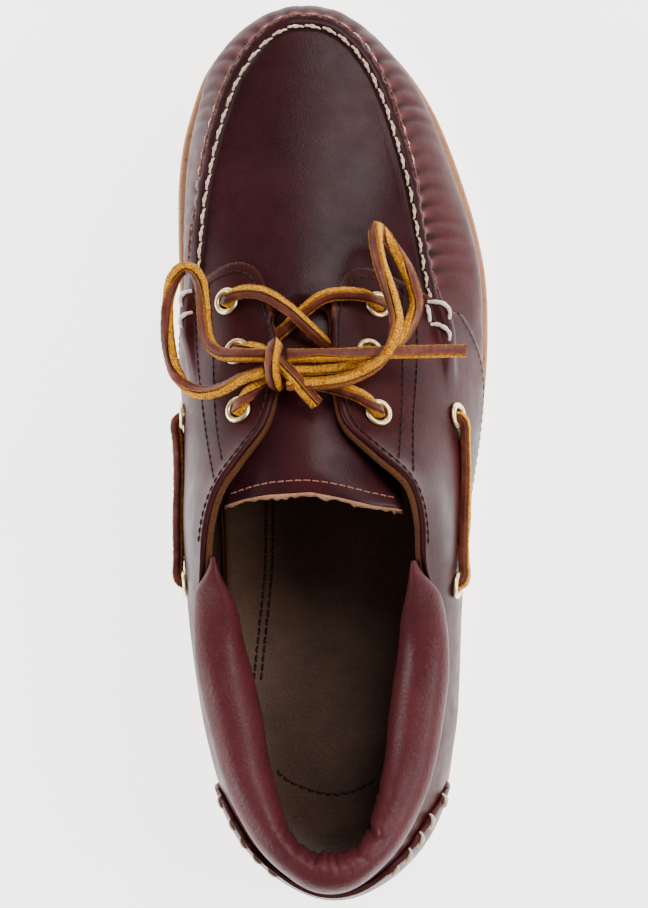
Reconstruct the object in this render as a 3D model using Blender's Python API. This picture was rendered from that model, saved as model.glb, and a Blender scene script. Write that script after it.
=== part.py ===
"""A hand-sewn moccasin boat shoe for the right foot, with three lace eyelets a side.

The toe points along +Y and the outer (lateral) side is +X. The shoe stands on z = 0, and the
middle of its box in plan is the origin. Sizes here are in millimetres; MM turns them into metres.
"""

import math

import bmesh
import bpy
import numpy as np
from mathutils import Vector
from mathutils.bvhtree import BVHTree

MM = 0.001
GAP = 0.3
HALF_LENGTH = 141.3
RIBS_A_SIDE = 24
WALL = 2.0
OVERLAY = 1.5
INSOLE_THICK = 3.5
TONGUE_THICK = 2.2
LACE = 3.2
EYELET_SIDES = 8
HOLE = 3.35
SIDE_LACE_THICK = 2.8
GROOVE = 4.0
GROOVE_DEEP = 2.2
BREAST = -60.0

# The edge of the sole, from above.
OUTLINE = (
    ("y", "medial", "lateral"),
    (-141.3, 0.5, 0.5),
    (-138.6, -10.5, 11.5),
    (-131.0, -21.7, 22.4),
    (-118.0, -31.2, 31.8),
    (-104.0, -35.6, 36.4),
    (-88.0, -37.6, 38.6),
    (-70.0, -38.6, 39.9),
    (-48.0, -38.7, 40.7),
    (-25.0, -39.2, 42.2),
    (-8.0, -40.4, 44.5),
    (8.0, -42.9, 47.0),
    (24.0, -46.0, 48.8),
    (40.0, -48.2, 49.4),
    (56.0, -49.0, 48.7),
    (72.0, -49.4, 45.6),
    (86.0, -49.2, 41.3),
    (98.0, -47.8, 36.9),
    (110.0, -44.6, 31.4),
    (120.6, -40.5, 24.4),
    (129.0, -34.2, 16.6),
    (135.6, -26.4, 8.6),
    (139.8, -18.0, 0.8),
    (141.3, -8.9, -8.9),
)

# The sole from the side: its lower and its upper face.
SOLE_SIDE = (
    ("y", "bottom", "top"),
    (-141.3, 0.9, 25.0),
    (-134.0, 0.0, 24.6),
    (-100.0, 0.0, 23.4),
    (-61.5, 0.0, 21.0),
    (-58.5, 7.0, 20.6),
    (-40.0, 6.4, 18.6),
    (-15.0, 4.0, 15.8),
    (8.0, 0.6, 14.0),
    (16.0, 0.0, 13.6),
    (50.0, 0.0, 13.2),
    (76.0, 0.0, 13.4),
    (100.0, 2.0, 15.0),
    (122.0, 5.6, 18.0),
    (141.3, 10.2, 21.6),
)

# The side of the sole, from its lower edge up: how far in, and the share of the height.
SOLE_WALL = (
    ("inset", "share"),
    (2.2, 0.0),
    (0.5, 0.1),
    (0.3, 0.44),
    (1.5, 0.48),
    (1.5, 0.54),
    (0.0, 0.58),
    (0.0, 0.92),
    (0.9, 1.0),
)

# The upper's ribs, one row each. feather: in from the edge of the sole. out and belly: how far
# the wall swells past the feather and at what height. shoulder: the point where the wall turns
# onto the top of the shoe, along the apron seam at the front. top: the edge at collar and throat.
# crown: how far the stretch between the last two rises over a straight line. rim: how much of
# the raised apron seam there is.
RIB_COLUMNS = (
    "y", "feather", "out", "belly",
    "shoulder_x", "shoulder_y", "shoulder_z", "top_x", "top_y", "top_z", "crown", "rim",
)  # fmt: skip
HEEL_RIB = (-141.3, 6.0, 0.3, 38, 0.5, -133.2, 54, -0.8, -130.0, 71, 0.3, 0)
TOE_RIB = (141.3, 3.4, 2.9, 30, -8.5, 137.2, 41, -9.8, 45.5, 68.5, -1.0, 1)
LATERAL_RIBS = (
    RIB_COLUMNS,
    HEEL_RIB,
    (-135.0, 5.6, 0.3, 38, 13.6, -128.4, 54, 9.4, -125.8, 70, 0.3, 0),
    (-122.0, 4.8, 0.3, 38, 24.6, -117.6, 53, 19.0, -115.6, 67, 0.3, 0),
    (-104.0, 3.8, 0.3, 38, 31.6, -102.0, 50, 26.6, -99.6, 62.5, 0.3, 0),
    (-85.0, 2.6, 0.4, 38, 35.2, -83.6, 47, 30.6, -81.5, 59.5, 0.3, 0),
    (-66.0, 2.6, 0.3, 38, 36.6, -65.0, 47, 32.5, -62.5, 59, 0.3, 0),
    (-50.0, 2.6, 0.3, 38, 36.8, -49.5, 51, 30.4, -45.5, 66.5, 0.6, 0),
    (-40.0, 2.6, 0.3, 38, 36.6, -39.5, 56, 26.4, -33.0, 78, 1.4, 0),
    (-30.0, 2.6, 0.3, 38, 36.2, -29.0, 59, 25.6, -20.0, 84.5, 2.0, 0),
    (-18.0, 2.6, 0.3, 36, 35.8, -17.0, 61, 22.2, -8.6, 87, 2.4, 0),
    (-5.0, 2.7, 0.4, 33, 35.6, -4.5, 60, 12.2, 0.3, 86.5, 3.4, 0),
    (8.0, 2.9, 0.6, 30, 35.8, 8.0, 57, 3.2, 8.8, 84, 4.2, 0),
    (22.0, 3.0, 0.7, 28, 35.8, 22.0, 53, 0.3, 19.0, 79.8, 4.4, 0.1),
    (36.0, 3.1, 0.6, 27, 34.6, 36.5, 49, -0.7, 29.5, 75, 3.4, 1.1),
    (50.0, 3.2, 0.5, 27, 31.2, 50.0, 47.5, -0.8, 36.0, 72, 2.0, 1.1),
    (66.0, 3.3, 0.4, 27, 29.2, 65.5, 46.5, -0.9, 39.8, 70.4, 1.0, 1),
    (82.0, 3.3, 0.4, 27, 26.5, 81.5, 45.5, -1.6, 42.2, 69.6, 0.4, 1),
    (97.0, 3.3, 0.6, 27, 23.3, 95.6, 44.4, -2.8, 43.8, 69, 0.0, 1),
    (110.0, 3.3, 1.1, 28, 19.6, 108.4, 43.2, -4.4, 44.8, 68.7, -0.4, 1),
    (121.0, 3.3, 1.9, 29, 15.0, 119.2, 42.3, -6.2, 45.3, 68.6, -0.8, 1),
    (131.0, 3.4, 2.7, 30, 7.6, 129.2, 41.4, -8.0, 45.5, 68.5, -1.0, 1),
    TOE_RIB,
)
MEDIAL_RIBS = (
    RIB_COLUMNS,
    HEEL_RIB,
    (-135.0, 5.6, 0.3, 38, -13.2, -128.4, 54, -11.2, -126.2, 70, 0.3, 0),
    (-122.0, 4.8, 0.6, 38, -25.2, -117.8, 53, -21.4, -116.6, 67, 0.3, 0),
    (-104.0, 3.8, 1.6, 38, -32.6, -102.0, 50, -30.2, -100.2, 62.5, 0.3, 0),
    (-85.0, 2.6, 3.0, 38, -38.0, -83.6, 47, -35.4, -82.0, 59.5, 0.3, 0),
    (-66.0, 2.4, 4.8, 38, -41.2, -65.0, 47, -39.4, -62.5, 59, 0.3, 0),
    (-50.0, 2.2, 6.2, 39, -42.8, -49.5, 51, -39.6, -46.0, 66.5, 0.6, 0),
    (-40.0, 2.0, 7.0, 40, -43.0, -39.5, 56, -38.6, -34.0, 78, 1.2, 0),
    (-30.0, 2.0, 7.2, 41, -43.4, -29.0, 60, -37.6, -22.5, 84, 1.6, 0),
    (-18.0, 2.0, 6.8, 41, -43.4, -17.0, 62, -34.4, -11.0, 87, 2.0, 0),
    (-5.0, 2.2, 5.6, 40, -42.6, -4.0, 62, -27.8, -1.4, 86.6, 2.6, 0),
    (8.0, 2.5, 4.3, 38, -42.2, 8.0, 60, -20.4, 8.4, 84, 3.4, 0),
    (22.0, 2.8, 3.2, 35, -42.6, 22.0, 55, -17.3, 19.0, 79.8, 4.0, 0.1),
    (36.0, 3.1, 2.2, 31, -44.4, 37.5, 45.5, -16.9, 29.5, 75, 4.4, 1.1),
    (50.0, 3.3, 1.5, 29, -44.6, 51.0, 45, -17.6, 36.0, 72, 3.0, 1.1),
    (66.0, 3.4, 1.2, 28, -44.0, 66.5, 45, -18.6, 39.8, 70.4, 1.6, 1),
    (82.0, 3.5, 0.8, 27, -42.4, 82.0, 44.6, -18.0, 42.2, 69.6, 0.8, 1),
    (97.0, 3.5, 0.6, 27, -39.4, 96.4, 44, -16.6, 43.8, 69, 0.2, 1),
    (110.0, 3.4, 0.9, 28, -35.8, 109.4, 43, -15.0, 44.8, 68.7, -0.4, 1),
    (121.0, 3.3, 1.9, 29, -31.0, 120.2, 42.2, -13.2, 45.3, 68.6, -0.8, 1),
    (131.0, 3.4, 2.7, 30, -23.6, 130.2, 41.4, -11.5, 45.5, 68.5, -1.0, 1),
    TOE_RIB,
)

# The apron seam stands up along the shoulder: its height over the wall, by distance inwards.
SEAM = (
    ("inward", "rise"),
    (-3.2, 0.0),
    (-0.4, 1.9),
    (1.2, 2.4),
    (2.8, 1.9),
    (4.0, 0.0),
    (7.2, 0.0),
)
WALL_SHARES = (0.0, 0.26, 0.52, 0.78)
CROWN_SHARES = (0.28, 0.54, 0.78, 1.0)
INNER_LEVELS = (13, 12, 11, 10, 9, 6, 4, 2, 0)

# The quarters end in an arc on the apron, from the throat to the seam, seen from above.
FRONT_LATERAL = (
    ("x", "y"),
    (-4.0, 30.0), (-1.1, 38.5), (-0.7, 44.5), (1.4, 51.5), (4.7, 55.8), (8.7, 57.2), (13.0, 56.4),
    (19.7, 53.8), (25.0, 51.6), (31.0, 47.8), (37.0, 44.4), (60.0, 44.0),
)  # fmt: skip
FRONT_MEDIAL = (
    ("x", "y"),
    (-13.0, 30.0), (-16.6, 38.5), (-18.9, 44.5), (-20.6, 51.5), (-23.2, 56.4), (-27.0, 58.7),
    (-32.2, 58.5), (-37.8, 55.6), (-42.5, 52.2), (-47.5, 48.0), (-60.0, 46.0),
)  # fmt: skip
# Their lower edge, seen from the side.
QUARTER_EDGE = (
    ("y", "z"),
    (60.0, 44.5), (44.0, 42.0), (38.0, 38.5), (31.0, 34.2), (23.0, 30.8), (14.0, 28.6),
    (0.0, 27.2), (-46.0, 27.0), (-77.0, 29.0), (-105.0, 30.5), (-160.0, 31.0),
)  # fmt: skip
COUNTER_EDGE = (
    ("y", "z"),
    (-103.5, 10.0), (-104.0, 36.0), (-107.0, 44.0), (-114.0, 49.5), (-124.0, 52.5), (-160.0, 53.5),
)  # fmt: skip

# The padded collar, along the top edge: how far it reaches in, rises over it and hangs inside.
COLLAR = (
    ("y", "inward", "rise", "drop"),
    (-131.0, 10.2, 9.5, 24.0),
    (-116.0, 13.6, 8.6, 23.0),
    (-96.0, 14.6, 8.2, 22.0),
    (-60.0, 13.2, 7.6, 20.0),
    (-46.0, 10.2, 5.8, 17.0),
    (-37.0, 6.4, 3.2, 12.0),
    (-29.0, 3.6, 1.4, 7.0),
)
# Its section, from the seam outside over the roll and down inside: shares of those three.
COLLAR_SECTION = (
    ("outward", "inward", "rise", "drop"),
    (2.1, 0.0, 0.05, 0.0),
    (2.7, 0.0, 0.4, 0.0),
    (1.6, 0.1, 0.8, 0.0),
    (-0.6, 0.22, 1.0, 0.0),
    (-1.0, 0.55, 0.95, 0.0),
    (0.0, 0.9, 0.5, 0.0),
    (0.0, 1.0, 0.0, 0.1),
    (0.0, 0.88, 0.0, 0.45),
    (-0.6, 0.5, 0.0, 0.82),
    (-2.8, 0.06, 0.0, 1.0),
    (-2.5, 0.0, 0.0, 0.5),
    (-2.5, 0.0, 0.05, 0.0),
)
COLLAR_FRONT = -29.5

# The tongue, from its end in the shoe to where it lies under the apron. crest: the height of its
# middle where the throat is open.
TONGUE = (
    ("y", "left", "right", "crest"),
    (-13.6, -33.0, 20.8, 87.0),
    (-8.0, -32.0, 20.0, 87.4),
    (0.0, -30.0, 17.0, 85.6),
    (9.0, -27.0, 11.5, 82.4),
    (20.0, -24.6, 8.0, 77.6),
    (31.0, -24.0, 6.4, 72.4),
    (41.0, -23.4, 5.0, 68.4),
    (50.0, -21.6, 3.0, 0.0),
    (57.0, -18.0, -1.0, 0.0),
)
TONGUE_ACROSS = 10

# Where the eyelets go, seen from above and from the side.
LACE_EYELETS = (
    ("name", "x", "y"),
    ("eyelet_medial_1", -32.3, 46.5),
    ("eyelet_medial_2", -29.2, 30.9),
    ("eyelet_medial_3", -28.4, 13.2),
    ("eyelet_lateral_1", 13.5, 45.3),
    ("eyelet_lateral_2", 10.7, 30.8),
    ("eyelet_lateral_3", 13.3, 12.3),
)
SIDE_EYELETS = (
    ("name", "y", "z"),
    ("front", 11.5, 53.0),
    ("rear", -40.0, 56.0),
)
# Half the section of an eyelet, from the inner end of its barrel round to its bore.
EYELET = (
    ("radius", "height"),
    (2.5, -3.3),
    (3.0, -3.3),
    (3.0, 0.5),
    (4.4, 0.5),
    (3.6, 1.3),
    (2.5, 1.2),
)

# Routes of the lace, each from an eyelet or the knot. The two crossings pass over one another.
CROSSING_OVER = (
    (-32.7, 46.7, 66.2), (-29.0, 48.7, 69.4), (-21.8, 48.6, 72.6), (-15.0, 44.7, 74.6),
    (-8.6, 39.2, 75.8), (-4.6, 35.6, 75.8),
)  # fmt: skip
CROSSING_UNDER = (
    (13.8, 45.4, 67.6), (10.2, 47.3, 70.0), (3.8, 48.2, 71.6), (-2.9, 47.2, 72.9),
    (-8.3, 43.5, 73.4), (-13.6, 38.6, 74.2),
)  # fmt: skip
UNDER_KNOT = (-17.2, 25.6, 81.0)
BARS = (
    ((-29.8, 31.2, 74.0), (-26.0, 31.3, 77.0), (-21.5, 29.6, 79.6), UNDER_KNOT),
    ((-28.7, 13.5, 82.2), (-26.4, 16.8, 82.8), (-21.8, 21.4, 81.8), UNDER_KNOT),
    ((13.5, 12.5, 82.8), (11.2, 14.9, 84.0), (3.0, 19.4, 84.6), (-6.0, 21.6, 83.8), UNDER_KNOT),
    ((11.0, 31.0, 75.6), (6.6, 29.6, 78.4), (-1.5, 28.0, 80.2), (-9.5, 26.8, 80.8), UNDER_KNOT),
)  # fmt: skip
KNOT = ((-17.2, 25.2, 86.4), (8.0, 13.0, 5.2))
LOOP_MEDIAL = (
    (-21.8, 29.6, 85.4), (-28.5, 30.3, 83.0), (-36.0, 30.8, 78.0), (-40.4, 34.0, 74.5),
    (-41.6, 40.0, 71.8), (-41.7, 46.0, 69.8), (-42.0, 52.0, 68.0), (-43.8, 56.8, 67.0),
    (-46.8, 58.0, 66.4), (-49.6, 55.0, 66.3), (-51.2, 49.0, 66.6), (-51.6, 42.0, 67.0),
    (-50.7, 34.0, 67.6), (-48.9, 27.0, 68.6), (-45.4, 21.8, 71.0), (-40.0, 19.0, 75.0),
    (-33.5, 19.9, 79.4), (-27.8, 22.6, 83.2), (-21.9, 24.4, 86.0),
)  # fmt: skip
LOOP_LATERAL = (
    (-12.7, 20.8, 87.6), (-5.5, 20.9, 88.4), (2.5, 21.9, 88.0), (8.6, 24.2, 85.0),
    (13.6, 27.4, 81.6), (17.2, 32.6, 76.5), (19.4, 40.0, 73.0), (19.0, 46.0, 72.8),
    (17.4, 52.0, 74.2), (15.2, 58.5, 76.0), (13.2, 65.0, 76.8), (12.2, 69.4, 75.2),
    (12.3, 71.6, 71.2), (13.6, 70.6, 66.8), (15.8, 67.6, 63.8), (18.8, 63.5, 62.0),
    (22.2, 58.5, 60.8), (25.0, 52.0, 60.4), (25.8, 46.0, 61.4), (24.6, 40.0, 64.0),
    (21.8, 35.2, 68.2), (17.0, 31.4, 73.4), (10.5, 27.8, 79.6), (2.5, 25.6, 83.8),
    (-5.0, 24.9, 85.0), (-12.7, 24.9, 85.6),
)  # fmt: skip
END_LONG = (
    (-12.7, 28.9, 87.4), (-4.0, 29.2, 87.8), (6.0, 29.8, 87.0), (16.0, 30.4, 84.0),
    (28.0, 30.8, 78.4), (39.6, 31.0, 72.0),
)  # fmt: skip
END_SHORT = ((-14.4, 18.0, 86.6), (-11.6, 15.4, 87.0), (-6.8, 12.4, 86.2))
# How far along from its eyelet a side lace is, and how far out from the quarter, up to its middle.
SIDE_LACE = (
    ("along", "outward"),
    (0.0, -2.6),
    (0.0, 0.0),
    (0.5, 1.8),
    (1.7, 2.8),
    (3.6, 3.2),
    (7.0, 3.0),
    (11.0, 2.5),
    (16.0, 2.2),
    (21.0, 2.0),
)

# Grooves across the tread, between which the lugs stand.
GROOVES_AT = (-124.0, -106.0, -88.0, -70.0, 18.0, 34.0, 50.0, 66.0, 82.0, 98.0)

GUM = ("gum_rubber", (0.50, 0.25, 0.11), 0.55, 0.0)
OXBLOOD = ("oxblood_leather", (0.085, 0.022, 0.024), 0.3, 0.0)
BURGUNDY = ("burgundy_collar_leather", (0.17, 0.035, 0.042), 0.42, 0.0)
INSOLE_BROWN = ("brown_insole_leather", (0.045, 0.024, 0.016), 0.6, 0.0)
RAWHIDE = ("rawhide_lace", (0.36, 0.17, 0.04), 0.7, 0.0)
BRASS = ("pale_brass", (0.72, 0.62, 0.36), 0.3, 1.0)


def column(table, name):
    return np.array([row[table[0].index(name)] for row in table[1:]], float)


def smooth(keys, values, at):
    """Values on a smooth curve through the rows of a table."""
    keys, values, at = (np.asarray(a, float) for a in (keys, values, at))
    if keys[0] > keys[-1]:
        keys, values = keys[::-1], values[::-1]
    slope = np.gradient(values, keys)
    i = np.clip(np.searchsorted(keys, at, side="right") - 1, 0, len(keys) - 2)
    span = keys[i + 1] - keys[i]
    u = np.clip((at - keys[i]) / span, 0.0, 1.0)
    rest = 1.0 - u
    return (
        values[i] * rest**2 * (1 + 2 * u)
        + values[i + 1] * u**2 * (3 - 2 * u)
        + span * u * rest * (slope[i] * rest - slope[i + 1] * u)
    )


def looked_up(table, name, y):
    return smooth(column(table, "y"), column(table, name), y)


def turn_of(y):
    """The place along one side, 0 at the heel and 1 at the toe, evenly round both ends."""
    return np.arccos(np.clip(-np.asarray(y, float) / HALF_LENGTH, -1, 1)) / math.pi


def along(turn):
    return -HALF_LENGTH * np.cos(math.pi * np.asarray(turn, float))


def turns(extra=()):
    """Turns of the ribs of one side: closer in the middle, and the extra places too."""
    even = np.linspace(0, 1, RIBS_A_SIDE + 1)
    return np.sort(np.append(even + 0.055 * np.sin(2 * math.pi * even), turn_of(extra)))


def whole(lateral, medial):
    """One loop round the shoe, up the lateral side and back down the medial one."""
    return np.concatenate([lateral, medial[-2:0:-1]])


def outward(loop):
    """Unit vectors in plan that point out of a loop."""
    run = np.roll(loop, -1, axis=0) - np.roll(loop, 1, axis=0)
    out = np.stack([run[:, 1], -run[:, 0]], axis=1)
    return out / np.linalg.norm(out, axis=1, keepdims=True)


def sole_edge(turn):
    key = turn_of(column(OUTLINE, "y"))
    sides = []
    for side in ("lateral", "medial"):
        x = smooth(key, column(OUTLINE, side), turn)
        sides.append(np.stack([x, along(turn)], axis=1))
    return whole(*sides)


def sole_height(name, y):
    """The sole's faces from the side. They have corners at the heel, so they aren't smoothed there."""
    return np.interp(y, column(SOLE_SIDE, "y"), column(SOLE_SIDE, name))


def sole_top(y):
    return looked_up(SOLE_SIDE, "top", y)


def to_spine(loop, share):
    """The loop drawn in towards the middle line of the shoe, where both its sides meet."""
    half = len(loop) // 2
    middle = (loop + loop[-np.arange(len(loop)) % len(loop)]) / 2
    y = np.clip(middle[:, 1], -HALF_LENGTH + 36, HALF_LENGTH - 42)
    x = np.interp(y, middle[: half + 1, 1], middle[: half + 1, 0])
    return loop * (1 - share) + np.stack([x, y], axis=1) * share


def ribs(turn):
    """The five points of each rib: feather, belly, shoulder, crown and top edge; and the seam's share."""
    edge = sole_edge(turn)
    sides = []
    for table in (LATERAL_RIBS, MEDIAL_RIBS):
        key = turn_of(column(table, "y"))
        sides.append({n: smooth(key, column(table, n), turn) for n in RIB_COLUMNS})
    row = {n: whole(sides[0][n], sides[1][n]) for n in RIB_COLUMNS}
    out = outward(edge)
    feather = edge - out * row["feather"][:, None]
    belly = feather + out * row["out"][:, None]
    feather = np.column_stack([feather, sole_top(feather[:, 1]) + GAP])
    belly = np.column_stack([belly, row["belly"]])
    shoulder = np.stack([row["shoulder_x"], row["shoulder_y"], row["shoulder_z"]], axis=1)
    top = np.stack([row["top_x"], row["top_y"], row["top_z"]], axis=1)
    chord = top - shoulder
    flat = np.linalg.norm(chord[:, :2], axis=1, keepdims=True)
    length = np.linalg.norm(chord, axis=1, keepdims=True)
    lift = np.column_stack([-chord[:, :2] / flat * chord[:, 2:] / length, flat / length])
    crown = (shoulder + top) / 2 + lift * row["crown"][:, None]
    return (feather, belly, shoulder, crown, top), row["rim"]


def spline(points, steps):
    """A centripetal curve through five points a rib. Returns the curve and the third point's place."""
    points = [2 * points[0] - points[1], *points, 2 * points[-1] - points[-2]]
    pieces = []
    for a, b, c, d in zip(points, points[1:], points[2:], points[3:]):
        ta, tb, tc = (np.linalg.norm(q - p, axis=1, keepdims=True) ** 0.5 for p, q in ((a, b), (b, c), (c, d)))
        m1 = (c - b) + tb * ((b - a) / ta - (c - a) / (ta + tb))
        m2 = (c - b) + tb * ((d - c) / tc - (d - b) / (tb + tc))
        for u in np.arange(steps) / steps:
            pieces.append(
                (2 * u**3 - 3 * u**2 + 1) * b + (u**3 - 2 * u**2 + u) * m1
                + (3 * u**2 - 2 * u**3) * c + (u**3 - u**2) * m2
            )  # fmt: skip
    pieces.append(points[-2])
    return np.stack(pieces), 2 * steps


def upper_surface(turn):
    """The upper's outside as rings from the feather to the top edge, before and with the raised
    seam, and the unit normals out of it."""
    points, rim = ribs(turn)
    curve, shoulder = spline(points, 12)
    run = np.concatenate([np.zeros((1, curve.shape[1])), np.cumsum(
        np.linalg.norm(np.diff(curve, axis=0), axis=2), axis=0)])  # fmt: skip
    inward, rise = column(SEAM, "inward"), column(SEAM, "rise")
    base = []
    for k in range(curve.shape[1]):
        turn_at, end = run[shoulder, k], run[-1, k]
        low, high = turn_at + inward[0], turn_at + inward[-1]
        places = np.concatenate([
            np.array(WALL_SHARES) * low, turn_at + inward, high + np.array(CROWN_SHARES) * (end - high)
        ])  # fmt: skip
        base.append([np.interp(places, run[:, k], curve[:, k, axis]) for axis in range(3)])
    base = np.transpose(np.array(base), (2, 0, 1))
    up = np.gradient(base, axis=0)
    round_it = np.roll(base, -1, axis=1) - np.roll(base, 1, axis=1)
    normal = np.cross(round_it, up)
    normal /= np.linalg.norm(normal, axis=2, keepdims=True)
    raised = np.zeros(len(base))
    raised[len(WALL_SHARES) : len(WALL_SHARES) + len(rise)] = rise
    seam = base + normal * (raised[:, None] * rim)[:, :, None]
    return base, seam, normal


def on_sole(ring):
    """A ring that stands on the sole's upper face."""
    return np.column_stack([ring[:, :2], sole_top(ring[:, 1]) + GAP])


def coloured(name, colour, roughness, metallic):
    found = bpy.data.materials.get(name)
    if found:
        return found
    made = bpy.data.materials.new(name)
    made.use_nodes = True
    shader = made.node_tree.nodes["Principled BSDF"]
    shader.inputs["Base Color"].default_value = (*colour, 1)
    shader.inputs["Roughness"].default_value = roughness
    shader.inputs["Metallic"].default_value = metallic
    return made


def placed(name, mesh, finish):
    made = bpy.data.objects.new(name, mesh)
    bpy.context.collection.objects.link(made)
    if finish:
        mesh.materials.append(coloured(*finish))
        mesh.shade_smooth()
        mesh.set_sharp_from_angle(angle=math.radians(40))
    else:
        made.hide_render = True
        made.display_type = "WIRE"
    return made


def skin(name, points, faces, finish):
    """A mesh from points and faces, with doubled points merged and its faces turned outwards."""
    mesh = bpy.data.meshes.new(name)
    mesh.from_pydata([tuple(p * MM) for p in points], [], faces)
    shape = bmesh.new()
    shape.from_mesh(mesh)
    bmesh.ops.remove_doubles(shape, verts=shape.verts, dist=1e-6)
    bmesh.ops.recalc_face_normals(shape, faces=shape.faces)
    shape.to_mesh(mesh)
    shape.free()
    return placed(name, mesh, finish)


def ringed(name, rings, finish, returns=0):
    """A solid from rings of points. Without returns both ends have shrunk to a line, and close
    there. With it the rings come back from that one on as the inside, and meet the first: each
    quad is then halved the same way on both sides, so that the wall keeps its thickness."""
    rings = np.asarray(rings)
    count, size = rings.shape[:2]
    faces = []
    for j in range(count if returns else count - 1):
        a, b = j * size, (j + 1) % count * size
        for i in range(size):
            k = (i + 1) % size
            if returns and j >= returns:
                faces += [(a + i, a + k, b + i), (a + k, b + k, b + i)]
            else:
                faces += [(a + i, a + k, b + k), (a + i, b + k, b + i)]
    return skin(name, rings.reshape(-1, 3), faces, finish)


def swept(name, sections, finish):
    """A solid from closed sections along a path, with a face over each end."""
    sections = np.asarray(sections)
    count, size = sections.shape[:2]
    faces = [tuple(range(size)), tuple((count - 1) * size + i for i in range(size))]
    for j in range(count - 1):
        for i in range(size):
            k = (i + 1) % size
            faces.append((j * size + i, j * size + k, (j + 1) * size + k, (j + 1) * size + i))
    return skin(name, sections.reshape(-1, 3), faces, finish)


def prism(name, outline, axis, low, high):
    """A cutter: an outline in the two other directions, drawn along an axis."""
    ends = []
    for depth in (low, high):
        ends.append([np.insert(np.array(p, float), axis, depth) for p in outline])
    return swept(name, ends, None)


def cut(piece, tool, how):
    change = piece.modifiers.new(how.title(), "BOOLEAN")
    change.operation = how
    change.object = tool


def outsole():
    turn = turns((BREAST - 1.5, BREAST + 1.5))
    edge = sole_edge(turn)
    out = outward(edge)
    rings = []
    for share in (1.0, 0.4):
        ring = to_spine(edge - out * SOLE_WALL[1][0], share)
        rings.append(np.column_stack([ring, sole_height("bottom", ring[:, 1])]))
    for inset, share in SOLE_WALL[1:]:
        ring = edge - out * inset
        bottom, top = sole_height("bottom", ring[:, 1]), sole_top(ring[:, 1])
        rings.append(np.column_stack([ring, bottom + (top - bottom) * share]))
    for share in (0.4, 1.0):
        ring = to_spine(edge - out * SOLE_WALL[-1][0], share)
        rings.append(np.column_stack([ring, sole_top(ring[:, 1])]))
    piece = ringed("outsole", rings, GUM)
    for number, y in enumerate(GROOVES_AT):
        floor = float(sole_height("bottom", y)) + GROOVE_DEEP
        section = [(y - GROOVE / 2, -5), (y + GROOVE / 2, -5), (y + GROOVE / 4, floor), (y - GROOVE / 4, floor)]
        cut(piece, prism(f"groove_{number}", section, 0, -70, 70), "DIFFERENCE")
    return piece


def upper(base, seam, normal):
    inner = base[list(INNER_LEVELS)] - normal[list(INNER_LEVELS)] * WALL
    floor = base[0] - np.column_stack([outward(base[0][:, :2]), np.zeros(base.shape[1])]) * WALL
    inner[-1] = on_sole(floor)
    return ringed("upper", [*seam, *inner], OXBLOOD, returns=len(seam))


def shell(name, seam, normal, low, high, finish):
    """A larger form that follows the upper, from which an overlay is cut."""
    outer, inner = seam + normal * high, seam + normal * low
    for ring in (outer[0], inner[0]):
        ring[:, 2] = np.maximum(ring[:, 2], sole_top(ring[:, 1]) + GAP)
    return ringed(name, [*outer, *inner[::-1]], finish, returns=len(seam))


def quarter(side, seam, normal):
    sign = 1 if side == "lateral" else -1
    piece = shell("quarter_" + side, seam, normal, GAP, GAP + OVERLAY, OXBLOOD)
    front = (FRONT_LATERAL if side == "lateral" else FRONT_MEDIAL)[1:]
    middle = 0.5 + sign * GAP / 2
    plan = [*front, (sign * 60, -160), (middle, -160), (middle, -100), (front[0][0], -60)]
    edge = [*QUARTER_EDGE[1:], (-160, 120), (60, 120)]
    cut(piece, prism("plan_of_" + piece.name, plan, 2, -10, 120), "INTERSECT")
    cut(piece, prism("side_of_" + piece.name, edge, 0, -80, 80), "INTERSECT")
    return piece


def heel_counter(seam, normal):
    low = 2 * GAP + OVERLAY
    piece = shell("heel_counter", seam, normal, low, low + OVERLAY, OXBLOOD)
    edge = [*COUNTER_EDGE[1:], (-160, 10)]
    cut(piece, prism("side_of_counter", edge, 0, -80, 80), "INTERSECT")
    return piece


def insole(base):
    out = outward(base[0][:, :2])
    edge = base[0][:, :2] - out * (WALL + 0.6)
    rings = []
    for share in (1.0, 0.0):
        rings.append(on_sole(to_spine(edge, share)))
    for share, lift in ((0.0, 0.8), (0.4, 0.0), (1.0, 0.0)):
        ring = on_sole(to_spine(edge, share))
        ring[:, 2] += INSOLE_THICK + lift
        rings.append(ring)
    return ringed("insole", rings, INSOLE_BROWN)


def collar(base, normal):
    top = base[-1].copy()
    top[:, 2] += np.maximum(normal[-1, :, 2], 0) * (GAP + OVERLAY)
    out = outward(top[:, :2])
    order = np.roll(np.arange(len(top)), len(top) // 2)
    kept = [i for i in order if top[i, 1] < COLLAR_FRONT]
    sections = []
    for i in kept:
        inward, rise, drop = (looked_up(COLLAR, n, top[i, 1]) for n in ("inward", "rise", "drop"))
        section = []
        for outward_mm, in_share, rise_share, drop_share in COLLAR_SECTION[1:]:
            reach = outward_mm - inward * in_share
            height = 2 * GAP + rise * rise_share - drop * drop_share
            section.append((*(top[i, :2] + out[i] * reach), top[i, 2] + height))
        sections.append(section)
    return swept("collar", sections, BURGUNDY)


def tree_of(rings):
    """A search tree of a surface given as rings."""
    count, size = rings.shape[:2]
    faces = []
    for j in range(count - 1):
        for i in range(size):
            k = (i + 1) % size
            faces.append((j * size + i, j * size + k, (j + 1) * size + k, (j + 1) * size + i))
    return BVHTree.FromPolygons([Vector(p) for p in rings.reshape(-1, 3)], faces)


def hit(tree, start, direction):
    place, normal, _, _ = tree.ray_cast(Vector(start), Vector(direction))
    if place is not None and normal.dot(Vector(direction)) > 0:
        normal = -normal
    return place, normal


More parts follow.
